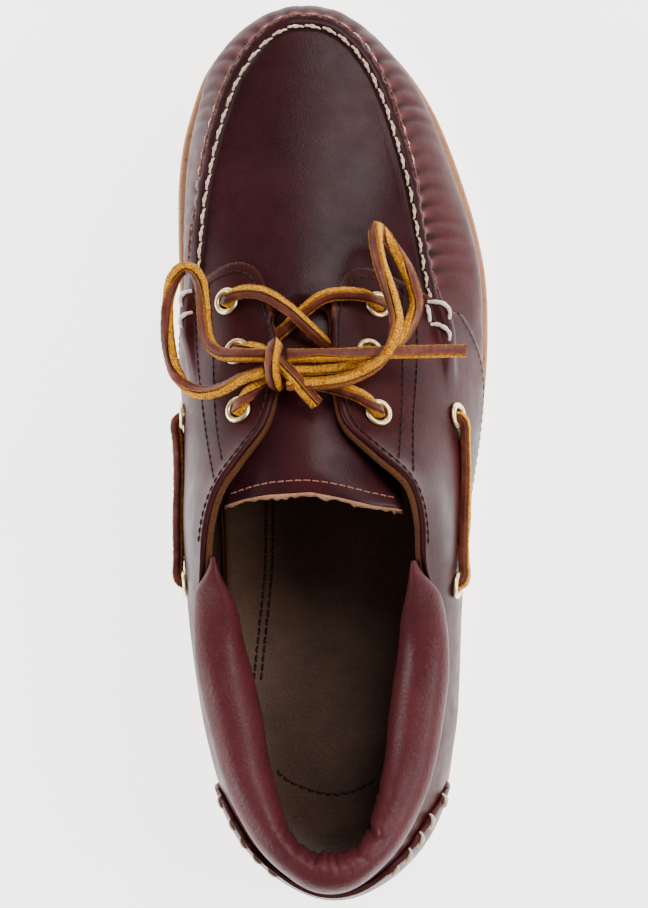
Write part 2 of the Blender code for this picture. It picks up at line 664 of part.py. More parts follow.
def tongue(base):
    """It lies against the inside of the upper, and arches over the foot where the throat is open."""
    tree = tree_of(base)
    depth = WALL + GAP + 1.0
    tops, bottoms = [], []
    for y, left, right, crest in TONGUE[1:]:
        known, heights = [], []
        for x in np.arange(left - 8, right + 8, 1.0):
            place, normal = hit(tree, (x, y, 200), (0, 0, -1))
            if place is not None and place.z > 60:
                known.append(x)
                heights.append(place.z - depth / max(normal.z, 0.3))
        xs = np.linspace(left, right, TONGUE_ACROSS + 1)
        z = np.interp(xs, known, heights)
        gap = int(np.argmax(np.diff(known)))
        if known[gap + 1] - known[gap] > 2:
            start, end = known[gap] + 2, known[gap + 1] - 2
            low = np.mean(heights[gap : gap + 2])
            across = np.clip((xs - start) / (end - start), 0, 1)
            z += (crest - low) * 4 * across * (1 - across)
        tops.append(np.column_stack([xs, np.full(len(xs), y), z]))
        bottoms.append(tops[-1] - (0, 0, TONGUE_THICK))
    sections = [[*a, *b[::-1]] for a, b in zip(tops, bottoms)]
    return swept("tongue", sections, OXBLOOD)


def tube(name, path, radius, finish, sides=8):
    """A mesh tube with its ring centres at a path's points."""
    path = np.array(path, float)
    sections = []
    for place, run in zip(path, np.gradient(path, axis=0)):
        turn_to = Vector(run).normalized().to_track_quat("Z", "Y")
        section = []
        for side in range(sides):
            angle = 2 * math.pi * side / sides
            spoke = Vector((radius * math.cos(angle), radius * math.sin(angle), 0))
            section.append(place + np.array(turn_to @ spoke))
        sections.append(section)
    return swept(name, sections, finish)


def threaded(route):
    """Points every two to three diameters on a smooth curve through a route."""
    route = np.array(route, float)
    run = np.append(0, np.cumsum(np.linalg.norm(np.diff(route, axis=0), axis=1)))
    at = np.linspace(0, run[-1], max(3, round(run[-1] / (2.6 * LACE)) + 1))
    return np.column_stack([smooth(run, route[:, axis], at) for axis in range(3)])


def joined(name, routes):
    """Stretches of lace that meet, as one solid."""
    piece = tube(name, threaded(routes[0]), LACE / 2, RAWHIDE)
    for number, route in enumerate(routes[1:], 1):
        cut(piece, tube(f"{name}_{number}", threaded(route), LACE / 2 + 0.02 * number, None), "UNION")


def free_cord(name, route):
    """A free stretch of lace: a round tube with filled ends."""
    path = threaded(route)
    line = bpy.data.curves.new(name, "CURVE")
    line.dimensions = "3D"
    line.bevel_depth = LACE / 2 * MM
    line.bevel_resolution = 2
    line.use_fill_caps = True
    strand = line.splines.new("POLY")
    strand.points.add(len(path) - 1)
    for point, place in zip(strand.points, path):
        point.co = (*(place * MM), 1)
    made = bpy.data.objects.new(name, line)
    bpy.context.collection.objects.link(made)
    line.materials.append(coloured(*RAWHIDE))
    return made


def knot():
    middle, size = KNOT
    shape = bmesh.new()
    bmesh.ops.create_cube(shape, size=1)
    bmesh.ops.scale(shape, vec=np.array(size) * MM, verts=shape.verts)
    bmesh.ops.bevel(shape, geom=shape.edges, offset=1.8 * MM, segments=2, profile=0.5, affect="EDGES")
    bmesh.ops.translate(shape, vec=np.array(middle) * MM, verts=shape.verts)
    mesh = bpy.data.meshes.new("lace_knot")
    shape.to_mesh(mesh)
    shape.free()
    return placed("lace_knot", mesh, RAWHIDE)


def eyelet(name, place, normal):
    """A brass ring with its barrel through the leather, and the hole's cutter."""
    stand = normal.to_track_quat("Z", "Y")
    rings = []
    for radius, height in EYELET[1:]:
        ring = []
        for side in range(EYELET_SIDES):
            angle = 2 * math.pi * side / EYELET_SIDES
            spoke = Vector((radius * math.cos(angle), radius * math.sin(angle), height))
            ring.append(np.array(place + stand @ spoke))
        rings.append(ring)
    ringed(name, rings, BRASS, returns=len(rings))
    bar = [place + normal * height for height in (-6, 0, 5)]
    return tube("hole_of_" + name, bar, HOLE, None, sides=EYELET_SIDES)


def eyelets(dressed):
    """Every eyelet, and its hole's cutter with the side of the shoe that it is on."""
    holes = []
    for name, x, y in LACE_EYELETS[1:]:
        place, normal = hit(dressed, (x, y, 200), (0, 0, -1))
        holes.append((name.split("_")[1], eyelet(name, place, normal)))
    for side, sign in (("lateral", 1), ("medial", -1)):
        for end, y, z in SIDE_EYELETS[1:]:
            place, normal = hit(dressed, (90 * sign, y, z), (-sign, 0, 0))
            holes.append((side, eyelet(f"eyelet_{side}_{end}", place, normal)))
    return holes


def side_lace(side, sign, dressed):
    """It comes out of one side eyelet, runs along the quarter and goes in at the other."""
    (_, y0, z0), (_, y1, z1) = SIDE_EYELETS[1:]
    length = math.hypot(y1 - y0, z1 - z0)
    stops = [(along_mm / length, out) for along_mm, out in SIDE_LACE[1:]]
    stops += [(1 - share, out) for share, out in reversed(stops)]
    path = []
    for share, out in stops:
        level = (90 * sign, y0 + (y1 - y0) * share, z0 + (z1 - z0) * share)
        place, normal = hit(dressed, level, (-sign, 0, 0))
        path.append(place + normal * out)
    tube("lace_side_" + side, path, SIDE_LACE_THICK / 2, RAWHIDE, sides=6)


def scene_cleared():
    for old in list(bpy.data.objects):
        bpy.data.objects.remove(old, do_unlink=True)


def build():
    scene_cleared()
    base, seam, normal = upper_surface(turns())
    dressed = tree_of(seam + normal * (GAP + OVERLAY))
    outsole()
    insole(base)
    shoe = upper(base, seam, normal)
    quarters = {side: quarter(side, seam, normal) for side in ("lateral", "medial")}
    heel_counter(seam, normal)
    collar(base, normal)
    tongue(base)
    for side, hole in eyelets(dressed):
        cut(shoe, hole, "DIFFERENCE")
        cut(quarters[side], hole, "DIFFERENCE")
    joined("lace_crossing", (CROSSING_OVER, CROSSING_UNDER))
    joined("lace_bars", BARS)
    side_lace("lateral", 1, dressed)
    side_lace("medial", -1, dressed)
    knot()
    free_cord("lace_loop_medial", LOOP_MEDIAL)
    free_cord("lace_loop_lateral", LOOP_LATERAL)
    free_cord("lace_end_long", END_LONG)
    free_cord("lace_end_short", END_SHORT)


build()
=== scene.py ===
# %% [markdown]
# # A right boat shoe
# A boat shoe is a moccasin: one piece of leather comes up round the foot from below, and a flat
# plug, the apron, is sewn to it on top by hand. Quarters of the same leather are laid over its
# back half, and a rawhide lace holds it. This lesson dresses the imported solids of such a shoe.
# First it loads them. They give the size that the finished shoe has to keep.

import math

import bmesh
import bpy
import numpy as np
from mathutils import Matrix, Vector
from mathutils.bvhtree import BVHTree


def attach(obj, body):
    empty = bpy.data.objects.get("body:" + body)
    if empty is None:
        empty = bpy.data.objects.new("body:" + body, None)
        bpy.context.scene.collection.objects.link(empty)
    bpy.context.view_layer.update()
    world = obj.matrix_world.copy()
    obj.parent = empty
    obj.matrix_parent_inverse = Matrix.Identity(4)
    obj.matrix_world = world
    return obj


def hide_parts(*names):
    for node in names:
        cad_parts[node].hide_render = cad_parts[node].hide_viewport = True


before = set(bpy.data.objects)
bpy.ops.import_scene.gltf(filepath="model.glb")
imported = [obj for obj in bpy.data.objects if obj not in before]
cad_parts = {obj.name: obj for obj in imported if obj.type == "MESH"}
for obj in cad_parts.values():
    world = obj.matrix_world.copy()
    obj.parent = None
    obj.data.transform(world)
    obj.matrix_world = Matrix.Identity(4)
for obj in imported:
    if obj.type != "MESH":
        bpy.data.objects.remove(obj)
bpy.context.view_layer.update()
bpy.ops.object.select_all(action="DESELECT")
MM = 0.001  # the tables below are in millimetres
print("solids:", len(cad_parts))

# %% [markdown]
# ## Camera, floor and light
# A shoe for sale is often shown from straight above, toe up, on white. A long lens keeps its sides
# from spreading. The table is a lit white sheet, whose reflection gives the walls pale edges. The
# room is dimmer overhead than at the sides, which keeps the top of waxed leather dark.

# %% Camera, floor and light
camera = bpy.data.objects.new("camera", bpy.data.cameras.new("camera"))
bpy.context.scene.collection.objects.link(camera)
camera.location = (-0.0029, 0, 1.15)  # metres, straight above the middle of the shoe
camera.data.sensor_width = 36
camera.data.lens = 141.3
bpy.context.scene.camera = camera

bpy.ops.mesh.primitive_plane_add(size=8, location=(0, 0, -0.1 * MM))
floor = bpy.context.object
floor.name = "floor"
lit_sheet = bpy.data.materials.new("lit_white_sheet")
lit_sheet.use_nodes = True
sheet = lit_sheet.node_tree.nodes["Principled BSDF"].inputs
sheet["Base Color"].default_value = (0.93, 0.93, 0.93, 1)
sheet["Roughness"].default_value = 0.9
sheet["Specular IOR Level"].default_value = 0.1
sheet["Emission Color"].default_value = (1, 1, 1, 1)
sheet["Emission Strength"].default_value = 3.0
floor.data.materials.append(lit_sheet)

room = bpy.data.worlds.new("white_room")
bpy.context.scene.world = room
room.use_nodes = True
sky = room.node_tree.nodes
height = sky.new("ShaderNodeSeparateXYZ")
fade = sky.new("ShaderNodeValToRGB")
low_band, high_band = fade.color_ramp.elements
low_band.position, high_band.position = 0.25, 0.95
low_band.color = (0.42, 0.42, 0.42, 1)
high_band.color = (0.22, 0.22, 0.23, 1)
room.node_tree.links.new(sky.new("ShaderNodeTexCoord").outputs["Generated"], height.inputs[0])
room.node_tree.links.new(height.outputs["Z"], fade.inputs[0])
room.node_tree.links.new(fade.outputs[0], sky["Background"].inputs["Color"])
sky["Background"].inputs["Strength"].default_value = 0.9

SHOE_MIDDLE = Vector((0, 0, 0.04))  # metres, where the lamps point
SOFTBOXES = (
    ("name", "place", "size", "power"),
    ("softbox_toe", (0.5, 0.9, 1.25), 1.0, 20),
    ("softbox_left", (-1.3, -0.1, 0.45), 0.7, 14),
    ("softbox_right", (0.95, -0.15, 0.95), 0.6, 11),
)
for name, place, size, power in SOFTBOXES[1:]:
    lamp = bpy.data.objects.new(name, bpy.data.lights.new(name, "AREA"))
    lamp.data.shape = "DISK"
    lamp.data.size = size
    lamp.data.energy = power
    lamp.location = place
    lamp.rotation_euler = (SHOE_MIDDLE - Vector(place)).to_track_quat("-Z", "Y").to_euler()
    bpy.context.scene.collection.objects.link(lamp)

print("camera, floor and", len(bpy.data.lights), "lights")

# %% [markdown]
# ## The lace, first as facts
# The lace is one square thong of rawhide, about 3.4 mm thick, so each stretch of it has a fixed
# length. It comes up through the front eyelets, crosses, dives under the quarters, comes up again
# behind and is tied in a bow. Each row of a route is a point in millimetres and how far the smooth
# grain side is rolled towards the right, in degrees, seen along the thong.

# %% Routes of the lace
CROSSING_OVER = (
    (-32.4, 46.5, 62.0, 60), (-32.3, 46.8, 66.4, 60), (-29.0, 48.9, 68.9, 40), (-22.0, 48.8, 72.2, 35),
    (-15.0, 44.9, 74.2, 35), (-8.8, 39.4, 75.0, 30), (-4.4, 35.2, 73.2, 20), (-1.2, 32.0, 71.2, 10),
    (1.6, 29.4, 70.0, 0),
)
CROSSING_UNDER = (
    (13.5, 45.3, 62.6, -150), (13.4, 45.6, 67.4, -60), (10.2, 47.8, 69.6, -35), (3.8, 48.6, 71.0, -28),
    (-2.9, 47.6, 71.8, -25), (-8.3, 43.9, 71.3, -20), (-13.6, 39.0, 70.2, -15), (-17.0, 36.0, 69.3, -10),
    (-20.4, 33.4, 68.6, 0),
)
RUNS = (
    ("lace_run_medial_2", (
        (-29.2, 30.7, 68.4, 60), (-29.0, 31.4, 73.6, 60), (-26.2, 32.0, 76.4, 50), (-22.0, 31.0, 79.2, 40),
        (-17.2, 28.0, 80.6, 30))),
    ("lace_run_medial_3", (
        (-28.4, 13.0, 76.4, 70), (-28.6, 13.8, 81.4, 70), (-26.6, 16.9, 82.8, 60), (-22.6, 20.6, 82.4, 70),
        (-16.8, 23.6, 81.4, 60))),
    ("lace_run_lateral_3", (
        (13.3, 12.1, 77.2, -70), (13.2, 13.0, 82.0, -60), (9.0, 16.8, 84.0, -40), (2.4, 19.4, 84.2, -35),
        (-6.0, 21.4, 83.2, -40), (-16.8, 24.0, 81.2, -40))),
    ("lace_run_lateral_2", (
        (10.7, 30.6, 69.8, -60), (10.6, 30.8, 75.0, -50), (6.6, 30.2, 77.6, -30), (-1.5, 28.6, 79.6, -20),
        (-9.5, 27.2, 80.4, -20), (-16.8, 26.4, 80.6, -20))),
)
LOOP_MEDIAL = (
    (-20.2, 29.4, 86.2, 22), (-28.5, 29.6, 83.2, 20), (-34.0, 30.2, 79.0, 12), (-37.6, 33.6, 75.4, -15),
    (-39.0, 39.4, 72.2, -28), (-39.6, 46.0, 69.8, -35), (-40.4, 51.8, 68.2, -50), (-42.4, 55.6, 67.2, -70),
    (-45.4, 56.6, 66.6, -75), (-48.2, 54.0, 66.5, -60), (-50.0, 48.4, 66.8, -20), (-50.6, 41.0, 67.2, 20),
    (-50.0, 32.6, 67.8, 50), (-48.2, 25.4, 68.8, 40), (-44.8, 20.6, 71.2, -10), (-39.6, 18.4, 75.2, -50),
    (-33.2, 19.6, 79.4, -60), (-27.4, 22.6, 83.0, -75), (-20.2, 24.8, 86.4, -80),
)
LOOP_LATERAL = (
    (-14.0, 20.9, 87.2, -120), (-5.5, 20.9, 88.0, -120), (2.5, 21.9, 88.0, -120), (8.6, 24.2, 87.4, -115),
    (13.8, 27.6, 87.6, -105), (17.2, 32.6, 87.0, -85), (18.9, 39.4, 83.6, -65), (17.6, 46.0, 80.4, -48),
    (15.9, 51.6, 78.6, -36), (14.0, 57.2, 77.6, -32), (12.8, 62.8, 77.0, -36), (12.6, 66.8, 75.2, -50),
    (13.0, 68.6, 71.6, -75), (14.2, 67.8, 67.6, -95), (16.6, 65.2, 64.6, -95), (19.4, 61.4, 62.8, -70),
    (22.2, 56.6, 61.6, -40), (24.5, 50.8, 61.0, -30), (25.2, 45.4, 61.8, -40), (23.4, 40.0, 64.2, -65),
    (21.0, 35.2, 68.4, -90), (16.6, 31.4, 73.6, -90), (10.5, 27.8, 79.4, -90), (2.5, 25.8, 83.4, -90),
    (-5.0, 25.0, 84.6, -90), (-14.0, 25.0, 85.0, -90),
)
END_LONG = (
    (-14.0, 29.4, 87.4, -25), (-4.0, 29.4, 87.8, -24), (6.0, 29.8, 87.0, -23), (16.0, 30.4, 84.2, -22),
    (28.0, 30.8, 78.8, -22), (39.6, 31.2, 72.6, -22),
)
END_SHORT = (
    (-16.6, 28.0, 86.8, -50), (-14.2, 25.4, 88.7, -40), (-11.0, 21.8, 88.6, -40), (-8.0, 18.2, 87.6, -35),
    (-5.0, 14.9, 86.4, -30),
)
KNOT_WRAP = (
    (-17.2, 32.4, 82.6, 45), (-17.4, 32.8, 86.0, 45), (-17.8, 31.0, 89.0, 45), (-18.3, 27.8, 90.2, 45),
    (-18.3, 24.4, 89.8, 45), (-17.6, 21.4, 87.6, 45), (-17.0, 20.6, 84.2, 40), (-16.6, 21.4, 81.6, 40),
)
print("two crossings,", len(RUNS), "runs to the knot, two loops, two ends and a wrap")

# %% [markdown]
# ## The last, as numbers
# A shoe is made over a last, a solid foot of wood, and every piece of its upper takes the last's
# shape. Here the last is a fan of ribs that run from the sole up to the collar or the throat. Each
# rib is a smooth curve through five points, read from two tables, one for each side of the foot.

# %% Tables of the last and the sole
HALF_LENGTH = 141.3
WALL = 2.0  # the vamp's leather with its lining
OVERLAY = 1.5  # the quarters and the counter
GAP = 0.3  # between one layer and the next
INSOLE_THICK = 3.5
TONGUE_THICK = 2.2
BREAST = -60.0  # the front face of the heel
# The edge of the sole, from above.
OUTLINE = (
    ("y", "medial", "lateral"),
    (-141.3, 0.5, 0.5),
    (-138.6, -10.5, 11.5),
    (-131.0, -21.7, 22.4),
    (-118.0, -31.2, 31.8),
    (-104.0, -35.6, 36.4),
    (-88.0, -37.6, 38.6),
    (-70.0, -38.6, 39.9),
    (-48.0, -38.7, 40.7),
    (-25.0, -39.2, 42.2),
    (-8.0, -40.4, 44.5),
    (8.0, -42.9, 47.0),
    (24.0, -46.0, 48.8),
    (40.0, -48.2, 49.4),
    (56.0, -49.0, 48.7),
    (72.0, -49.4, 45.6),
    (86.0, -49.2, 41.3),
    (98.0, -47.8, 36.9),
    (110.0, -44.6, 31.4),
    (120.6, -40.5, 24.4),
    (129.0, -34.2, 16.6),
    (135.6, -26.4, 8.6),
    (139.8, -18.0, 0.8),
    (141.3, -8.9, -8.9),
)

# The sole from the side: its lower and its upper face.
SOLE_SIDE = (
    ("y", "bottom", "top"),
    (-141.3, 0.9, 25.0),
    (-134.0, 0.0, 24.6),
    (-100.0, 0.0, 23.4),
    (-61.5, 0.0, 21.0),
    (-58.5, 7.0, 20.6),
    (-40.0, 6.4, 18.6),
    (-15.0, 4.0, 15.8),
    (8.0, 0.6, 14.0),
    (16.0, 0.0, 13.6),
    (50.0, 0.0, 13.2),
    (76.0, 0.0, 13.4),
    (100.0, 2.0, 15.0),
    (122.0, 5.6, 18.0),
    (141.3, 10.2, 21.6),
)

# The side of the sole, from its lower edge up: how far in, and the share of the height.
SOLE_WALL = (
    ("inset", "share"),
    (2.2, 0.0),
    (0.5, 0.1),
    (0.3, 0.44),
    (1.5, 0.48),
    (1.5, 0.54),
    (0.0, 0.58),
    (0.0, 0.92),
    (0.9, 1.0),
)
print("sole:", 2 * HALF_LENGTH, "mm long and", max(row[2] for row in OUTLINE[1:]), "mm out at most")

# %% Table of the last's ribs
# The upper's ribs, one row each. feather: in from the edge of the sole. out and belly: how far
# the wall swells past the feather and at what height. shoulder: the point where the wall turns
# onto the top of the shoe, along the apron seam at the front. top: the edge at collar and throat.
# crown: how far the stretch between the last two rises over a straight line. rim: how much of
# the raised apron seam there is.
RIB_COLUMNS = (
    "y", "feather", "out", "belly",
    "shoulder_x", "shoulder_y", "shoulder_z", "top_x", "top_y", "top_z", "crown", "rim",
)
HEEL_RIB = (-141.3, 6.0, 0.3, 38, 0.5, -133.2, 54, -0.8, -130.0, 71, 0.3, 0)
TOE_RIB = (141.3, 3.4, 2.9, 30, -8.5, 137.2, 41, -9.8, 45.5, 68.5, -1.0, 1)
LATERAL_RIBS = (
    RIB_COLUMNS,
    HEEL_RIB,
    (-135.0, 5.6, 0.3, 38, 13.6, -128.4, 54, 9.4, -125.8, 70, 0.3, 0),
    (-122.0, 4.8, 0.3, 38, 24.6, -117.6, 53, 19.0, -115.6, 67, 0.3, 0),
    (-104.0, 3.8, 0.3, 38, 31.6, -102.0, 50, 26.6, -99.6, 62.5, 0.3, 0),
    (-85.0, 2.6, 0.4, 38, 35.2, -83.6, 47, 30.6, -81.5, 59.5, 0.3, 0),
    (-66.0, 2.6, 0.3, 38, 36.6, -65.0, 47, 32.5, -62.5, 59, 0.3, 0),
    (-50.0, 2.6, 0.3, 38, 36.8, -49.5, 51, 30.4, -45.5, 66.5, 0.6, 0),
    (-40.0, 2.6, 0.3, 38, 36.6, -39.5, 56, 26.4, -33.0, 78, 1.4, 0),
    (-30.0, 2.6, 0.3, 38, 36.2, -29.0, 59, 25.6, -20.0, 84.5, 2.0, 0),
    (-18.0, 2.6, 0.3, 36, 35.8, -17.0, 61, 22.2, -8.6, 87, 2.4, 0),
    (-5.0, 2.7, 0.4, 33, 35.6, -4.5, 60, 12.2, 0.3, 86.5, 3.4, 0),
    (8.0, 2.9, 0.6, 30, 35.8, 8.0, 57, 3.2, 8.8, 84, 4.2, 0),
    (22.0, 3.0, 0.7, 28, 35.8, 22.0, 53, 0.3, 19.0, 79.8, 4.4, 0.1),
    (36.0, 3.1, 0.6, 27, 34.6, 36.5, 49, -0.7, 29.5, 75, 3.4, 1.1),
    (50.0, 3.2, 0.5, 27, 31.2, 50.0, 47.5, -0.8, 36.0, 72, 2.0, 1.1),
    (66.0, 3.3, 0.4, 27, 29.2, 65.5, 46.5, -0.9, 39.8, 70.4, 1.0, 1),
    (82.0, 3.3, 0.4, 27, 26.5, 81.5, 45.5, -1.6, 42.2, 69.6, 0.4, 1),
    (97.0, 3.3, 0.6, 27, 23.3, 95.6, 44.4, -2.8, 43.8, 69, 0.0, 1),
    (110.0, 3.3, 1.1, 28, 19.6, 108.4, 43.2, -4.4, 44.8, 68.7, -0.4, 1),
    (121.0, 3.3, 1.9, 29, 15.0, 119.2, 42.3, -6.2, 45.3, 68.6, -0.8, 1),
    (131.0, 3.4, 2.7, 30, 7.6, 129.2, 41.4, -8.0, 45.5, 68.5, -1.0, 1),
    TOE_RIB,
)
MEDIAL_RIBS = (
    RIB_COLUMNS,
    HEEL_RIB,
    (-135.0, 5.6, 0.3, 38, -13.2, -128.4, 54, -11.2, -126.2, 70, 0.3, 0),
    (-122.0, 4.8, 0.6, 38, -25.2, -117.8, 53, -21.4, -116.6, 67, 0.3, 0),
    (-104.0, 3.8, 1.6, 38, -32.6, -102.0, 50, -30.2, -100.2, 62.5, 0.3, 0),
    (-85.0, 2.6, 3.0, 38, -38.0, -83.6, 47, -35.4, -82.0, 59.5, 0.3, 0),
    (-66.0, 2.4, 4.8, 38, -41.2, -65.0, 47, -39.4, -62.5, 59, 0.3, 0),
    (-50.0, 2.2, 6.2, 39, -42.8, -49.5, 51, -39.6, -46.0, 66.5, 0.6, 0),
    (-40.0, 2.0, 7.0, 40, -43.0, -39.5, 56, -38.6, -34.0, 78, 1.2, 0),
    (-30.0, 2.0, 7.2, 41, -43.4, -29.0, 60, -37.6, -22.5, 84, 1.6, 0),
    (-18.0, 2.0, 6.8, 41, -43.4, -17.0, 62, -34.4, -11.0, 87, 2.0, 0),
    (-5.0, 2.2, 5.6, 40, -42.6, -4.0, 62, -27.8, -1.4, 86.6, 2.6, 0),
    (8.0, 2.5, 4.3, 38, -42.2, 8.0, 60, -20.4, 8.4, 84, 3.4, 0),
    (22.0, 2.8, 3.2, 35, -42.6, 22.0, 55, -17.3, 19.0, 79.8, 4.0, 0.1),
    (36.0, 3.1, 2.2, 31, -44.4, 37.5, 45.5, -16.9, 29.5, 75, 4.4, 1.1),
    (50.0, 3.3, 1.5, 29, -44.6, 51.0, 45, -17.6, 36.0, 72, 3.0, 1.1),
    (66.0, 3.4, 1.2, 28, -44.0, 66.5, 45, -18.6, 39.8, 70.4, 1.6, 1),
    (82.0, 3.5, 0.8, 27, -42.4, 82.0, 44.6, -18.0, 42.2, 69.6, 0.8, 1),
    (97.0, 3.5, 0.6, 27, -39.4, 96.4, 44, -16.6, 43.8, 69, 0.2, 1),
    (110.0, 3.4, 0.9, 28, -35.8, 109.4, 43, -15.0, 44.8, 68.7, -0.4, 1),
    (121.0, 3.3, 1.9, 29, -31.0, 120.2, 42.2, -13.2, 45.3, 68.6, -0.8, 1),
    (131.0, 3.4, 2.7, 30, -23.6, 130.2, 41.4, -11.5, 45.5, 68.5, -1.0, 1),
    TOE_RIB,
)
print("ribs in the tables:", len(LATERAL_RIBS) + len(MEDIAL_RIBS) - 2)

# %% Outlines of the quarters and the counter, and the apron's seam
# The quarters end in an arc on the apron, from the throat to the seam, seen from above.
FRONT_LATERAL = (
    ("x", "y"),
    (-4.0, 30.0), (-1.1, 38.5), (-0.7, 44.5), (1.4, 51.5), (4.7, 55.8), (8.7, 57.2), (13.0, 56.4),
    (19.7, 53.8), (25.0, 51.6), (31.0, 47.8), (37.0, 44.4), (60.0, 44.0),
)
FRONT_MEDIAL = (
    ("x", "y"),
    (-13.0, 30.0), (-16.6, 38.5), (-18.9, 44.5), (-20.6, 51.5), (-23.2, 56.4), (-27.0, 58.7),
    (-32.2, 58.5), (-37.8, 55.6), (-42.5, 52.2), (-47.5, 48.0), (-60.0, 46.0),
)
# Their lower edge, seen from the side.
QUARTER_EDGE = (
    ("y", "z"),
    (60.0, 44.5), (44.0, 42.0), (38.0, 38.5), (31.0, 34.2), (23.0, 30.8), (14.0, 28.6),
    (0.0, 27.2), (-46.0, 27.0), (-77.0, 29.0), (-105.0, 30.5), (-160.0, 31.0),
)
COUNTER_EDGE = (
    ("y", "z"),
    (-103.5, 10.0), (-104.0, 40.0), (-106.0, 49.5), (-112.0, 56.8), (-122.0, 60.2), (-160.0, 61.0),
)

# The seam round the apron: how far in from the shoulder its two lines of stitches lie, by length
# along the shoulder from the toe, with the inner side of the foot counted up.
SEAM = (
    ("along", "outer", "inner"),
    (-140.0, 0.1, 4.9), (-122.0, 0.4, 5.2), (-100.0, 1.0, 4.7), (-90.0, 1.8, 5.0), (-80.0, 2.1, 5.6),
    (-64.0, 2.1, 6.0), (-48.0, 2.6, 6.8), (-34.0, 2.4, 6.7), (-20.0, 1.3, 5.3), (-8.0, 1.9, 5.6),
    (0.0, 2.3, 5.9), (9.0, 2.3, 6.0), (20.0, 1.3, 5.4), (30.0, 1.4, 5.9), (41.0, 2.4, 7.5),
    (57.0, 2.7, 7.9), (73.0, 3.5, 8.5), (88.0, 3.2, 8.5), (100.0, 3.0, 8.3), (112.0, 2.8, 8.0),
    (126.0, 1.0, 5.8), (140.0, 0.1, 4.9),
)
SEAM_INWARD = (0.1, 4.9)  # where both lines lie once the rows are counted from the seam
print("points in the seam's table:", len(SEAM) - 1)

# %% Tables of the collar, the tongue and the eyelets
# The padded collar, along the top edge: how far it reaches in, rises over it and hangs inside.
COLLAR = (
    ("y", "inward", "rise", "drop"),
    (-131.0, 11.4, 9.5, 24.0),
    (-127.0, 7.4, 9.2, 23.6),
    (-121.0, 7.2, 8.9, 23.2),
    (-113.0, 9.8, 8.5, 22.8),
    (-96.0, 12.6, 8.2, 22.0),
    (-60.0, 12.8, 7.6, 20.0),
    (-46.0, 10.2, 5.8, 17.0),
    (-37.0, 6.4, 3.2, 12.0),
    (-29.0, 3.6, 1.4, 7.0),
)
# Its section, from the seam outside over the roll and down inside: shares of those three.
COLLAR_SECTION = (
    ("outward", "inward", "rise", "drop"),
    (2.1, 0.0, 0.05, 0.0),
    (2.7, 0.0, 0.4, 0.0),
    (1.6, 0.1, 0.8, 0.0),
    (-0.6, 0.22, 1.0, 0.0),
    (-1.0, 0.55, 0.95, 0.0),
    (0.0, 0.9, 0.5, 0.0),
    (0.0, 1.0, 0.0, 0.1),
    (0.0, 0.88, 0.0, 0.45),
    (-0.6, 0.5, 0.0, 0.82),
    (-2.8, 0.06, 0.0, 1.0),
    (-2.5, 0.0, 0.0, 0.5),
    (-2.5, 0.0, 0.05, 0.0),
)
COLLAR_FRONT = -29.5  # where its two ends are

# The tongue's two edges, from its end in the shoe to where it lies under the apron.
TONGUE = (
    ("y", "left", "right"),
    (-13.6, -33.0, 20.8), (-8.0, -32.0, 20.0), (0.0, -30.0, 17.0), (9.0, -27.0, 11.5), (20.0, -24.6, 8.0),
    (31.0, -24.0, 6.4), (41.0, -23.4, 5.0), (50.0, -21.6, 3.0), (57.0, -18.0, -1.0),
)
# The height of its middle, which rises where the throat is open.
TONGUE_CREST = (
    ("y", "z"),
    (-20.0, 87.2), (-8.0, 87.0), (0.0, 85.2), (9.0, 81.8), (20.0, 76.6), (31.0, 70.6), (41.0, 67.0),
    (50.0, 66.5), (60.0, 66.0),
)
# The double curve of its free edge, seen from above.
TONGUE_BACK = (
    ("x", "y"),
    (-34.0, -15.9), (-27.0, -13.6), (-20.3, -12.3), (-6.8, -11.4), (1.6, -13.0), (12.7, -15.6),
    (21.9, -16.8),
)

# Where the eyelets go, seen from above and from the side.
LACE_EYELETS = (
    ("name", "x", "y"),
    ("eyelet_medial_1", -32.3, 46.5),
    ("eyelet_medial_2", -29.2, 30.9),
    ("eyelet_medial_3", -28.4, 13.2),
    ("eyelet_lateral_1", 13.5, 45.3),
    ("eyelet_lateral_2", 10.7, 30.8),
    ("eyelet_lateral_3", 13.3, 12.3),
)
SIDE_EYELETS = (
    ("name", "y", "z"),
    ("front", 11.5, 53.0),
    ("rear", -40.0, 56.0),
)
SIDE_LIFT = {"lateral": 3.2, "medial": -5.0}  # the inner pair sits lower, out of sight from above

# Grooves across the tread, between which the lugs stand.
GROOVES_AT = (-124.0, -106.0, -88.0, -70.0, 18.0, 34.0, 50.0, 66.0, 82.0, 98.0)
print("eyelets for the lace:", len(LACE_EYELETS) - 1, "and grooves in the tread:", len(GROOVES_AT))

# %% [markdown]
# ## Reading the tables
# A row of a table is a size that a maker could check with a rule. In between, the values follow a
# smooth curve. Points round the shoe are counted by turns, from the middle of the heel up the outer
# side to the toe and back down the inner side.

# %% From tables to smooth curves
def column(table, name):
    return np.array([row[table[0].index(name)] for row in table[1:]], float)


def smooth(keys, values, at):
    """Values on a smooth curve through the rows of a table."""
    keys, values, at = (np.asarray(a, float) for a in (keys, values, at))
    if keys[0] > keys[-1]:
        keys, values = keys[::-1], values[::-1]
    slope = np.gradient(values, keys)
    i = np.clip(np.searchsorted(keys, at, side="right") - 1, 0, len(keys) - 2)
    span = keys[i + 1] - keys[i]
    u = np.clip((at - keys[i]) / span, 0.0, 1.0)
    rest = 1.0 - u
    return (
        values[i] * rest**2 * (1 + 2 * u)
        + values[i + 1] * u**2 * (3 - 2 * u)
        + span * u * rest * (slope[i] * rest - slope[i + 1] * u)
    )


def straight(table, at):
    """Values on the straight stretches between the rows of a table of two columns."""
    return np.interp(at, *np.transpose(table[1:]))


def looked_up(table, name, y):
    return smooth(column(table, "y"), column(table, name), y)


def run_of(line):
    """How far along a line each of its points lies."""
    return np.append(0, np.cumsum(np.linalg.norm(np.diff(line, axis=0), axis=1)))


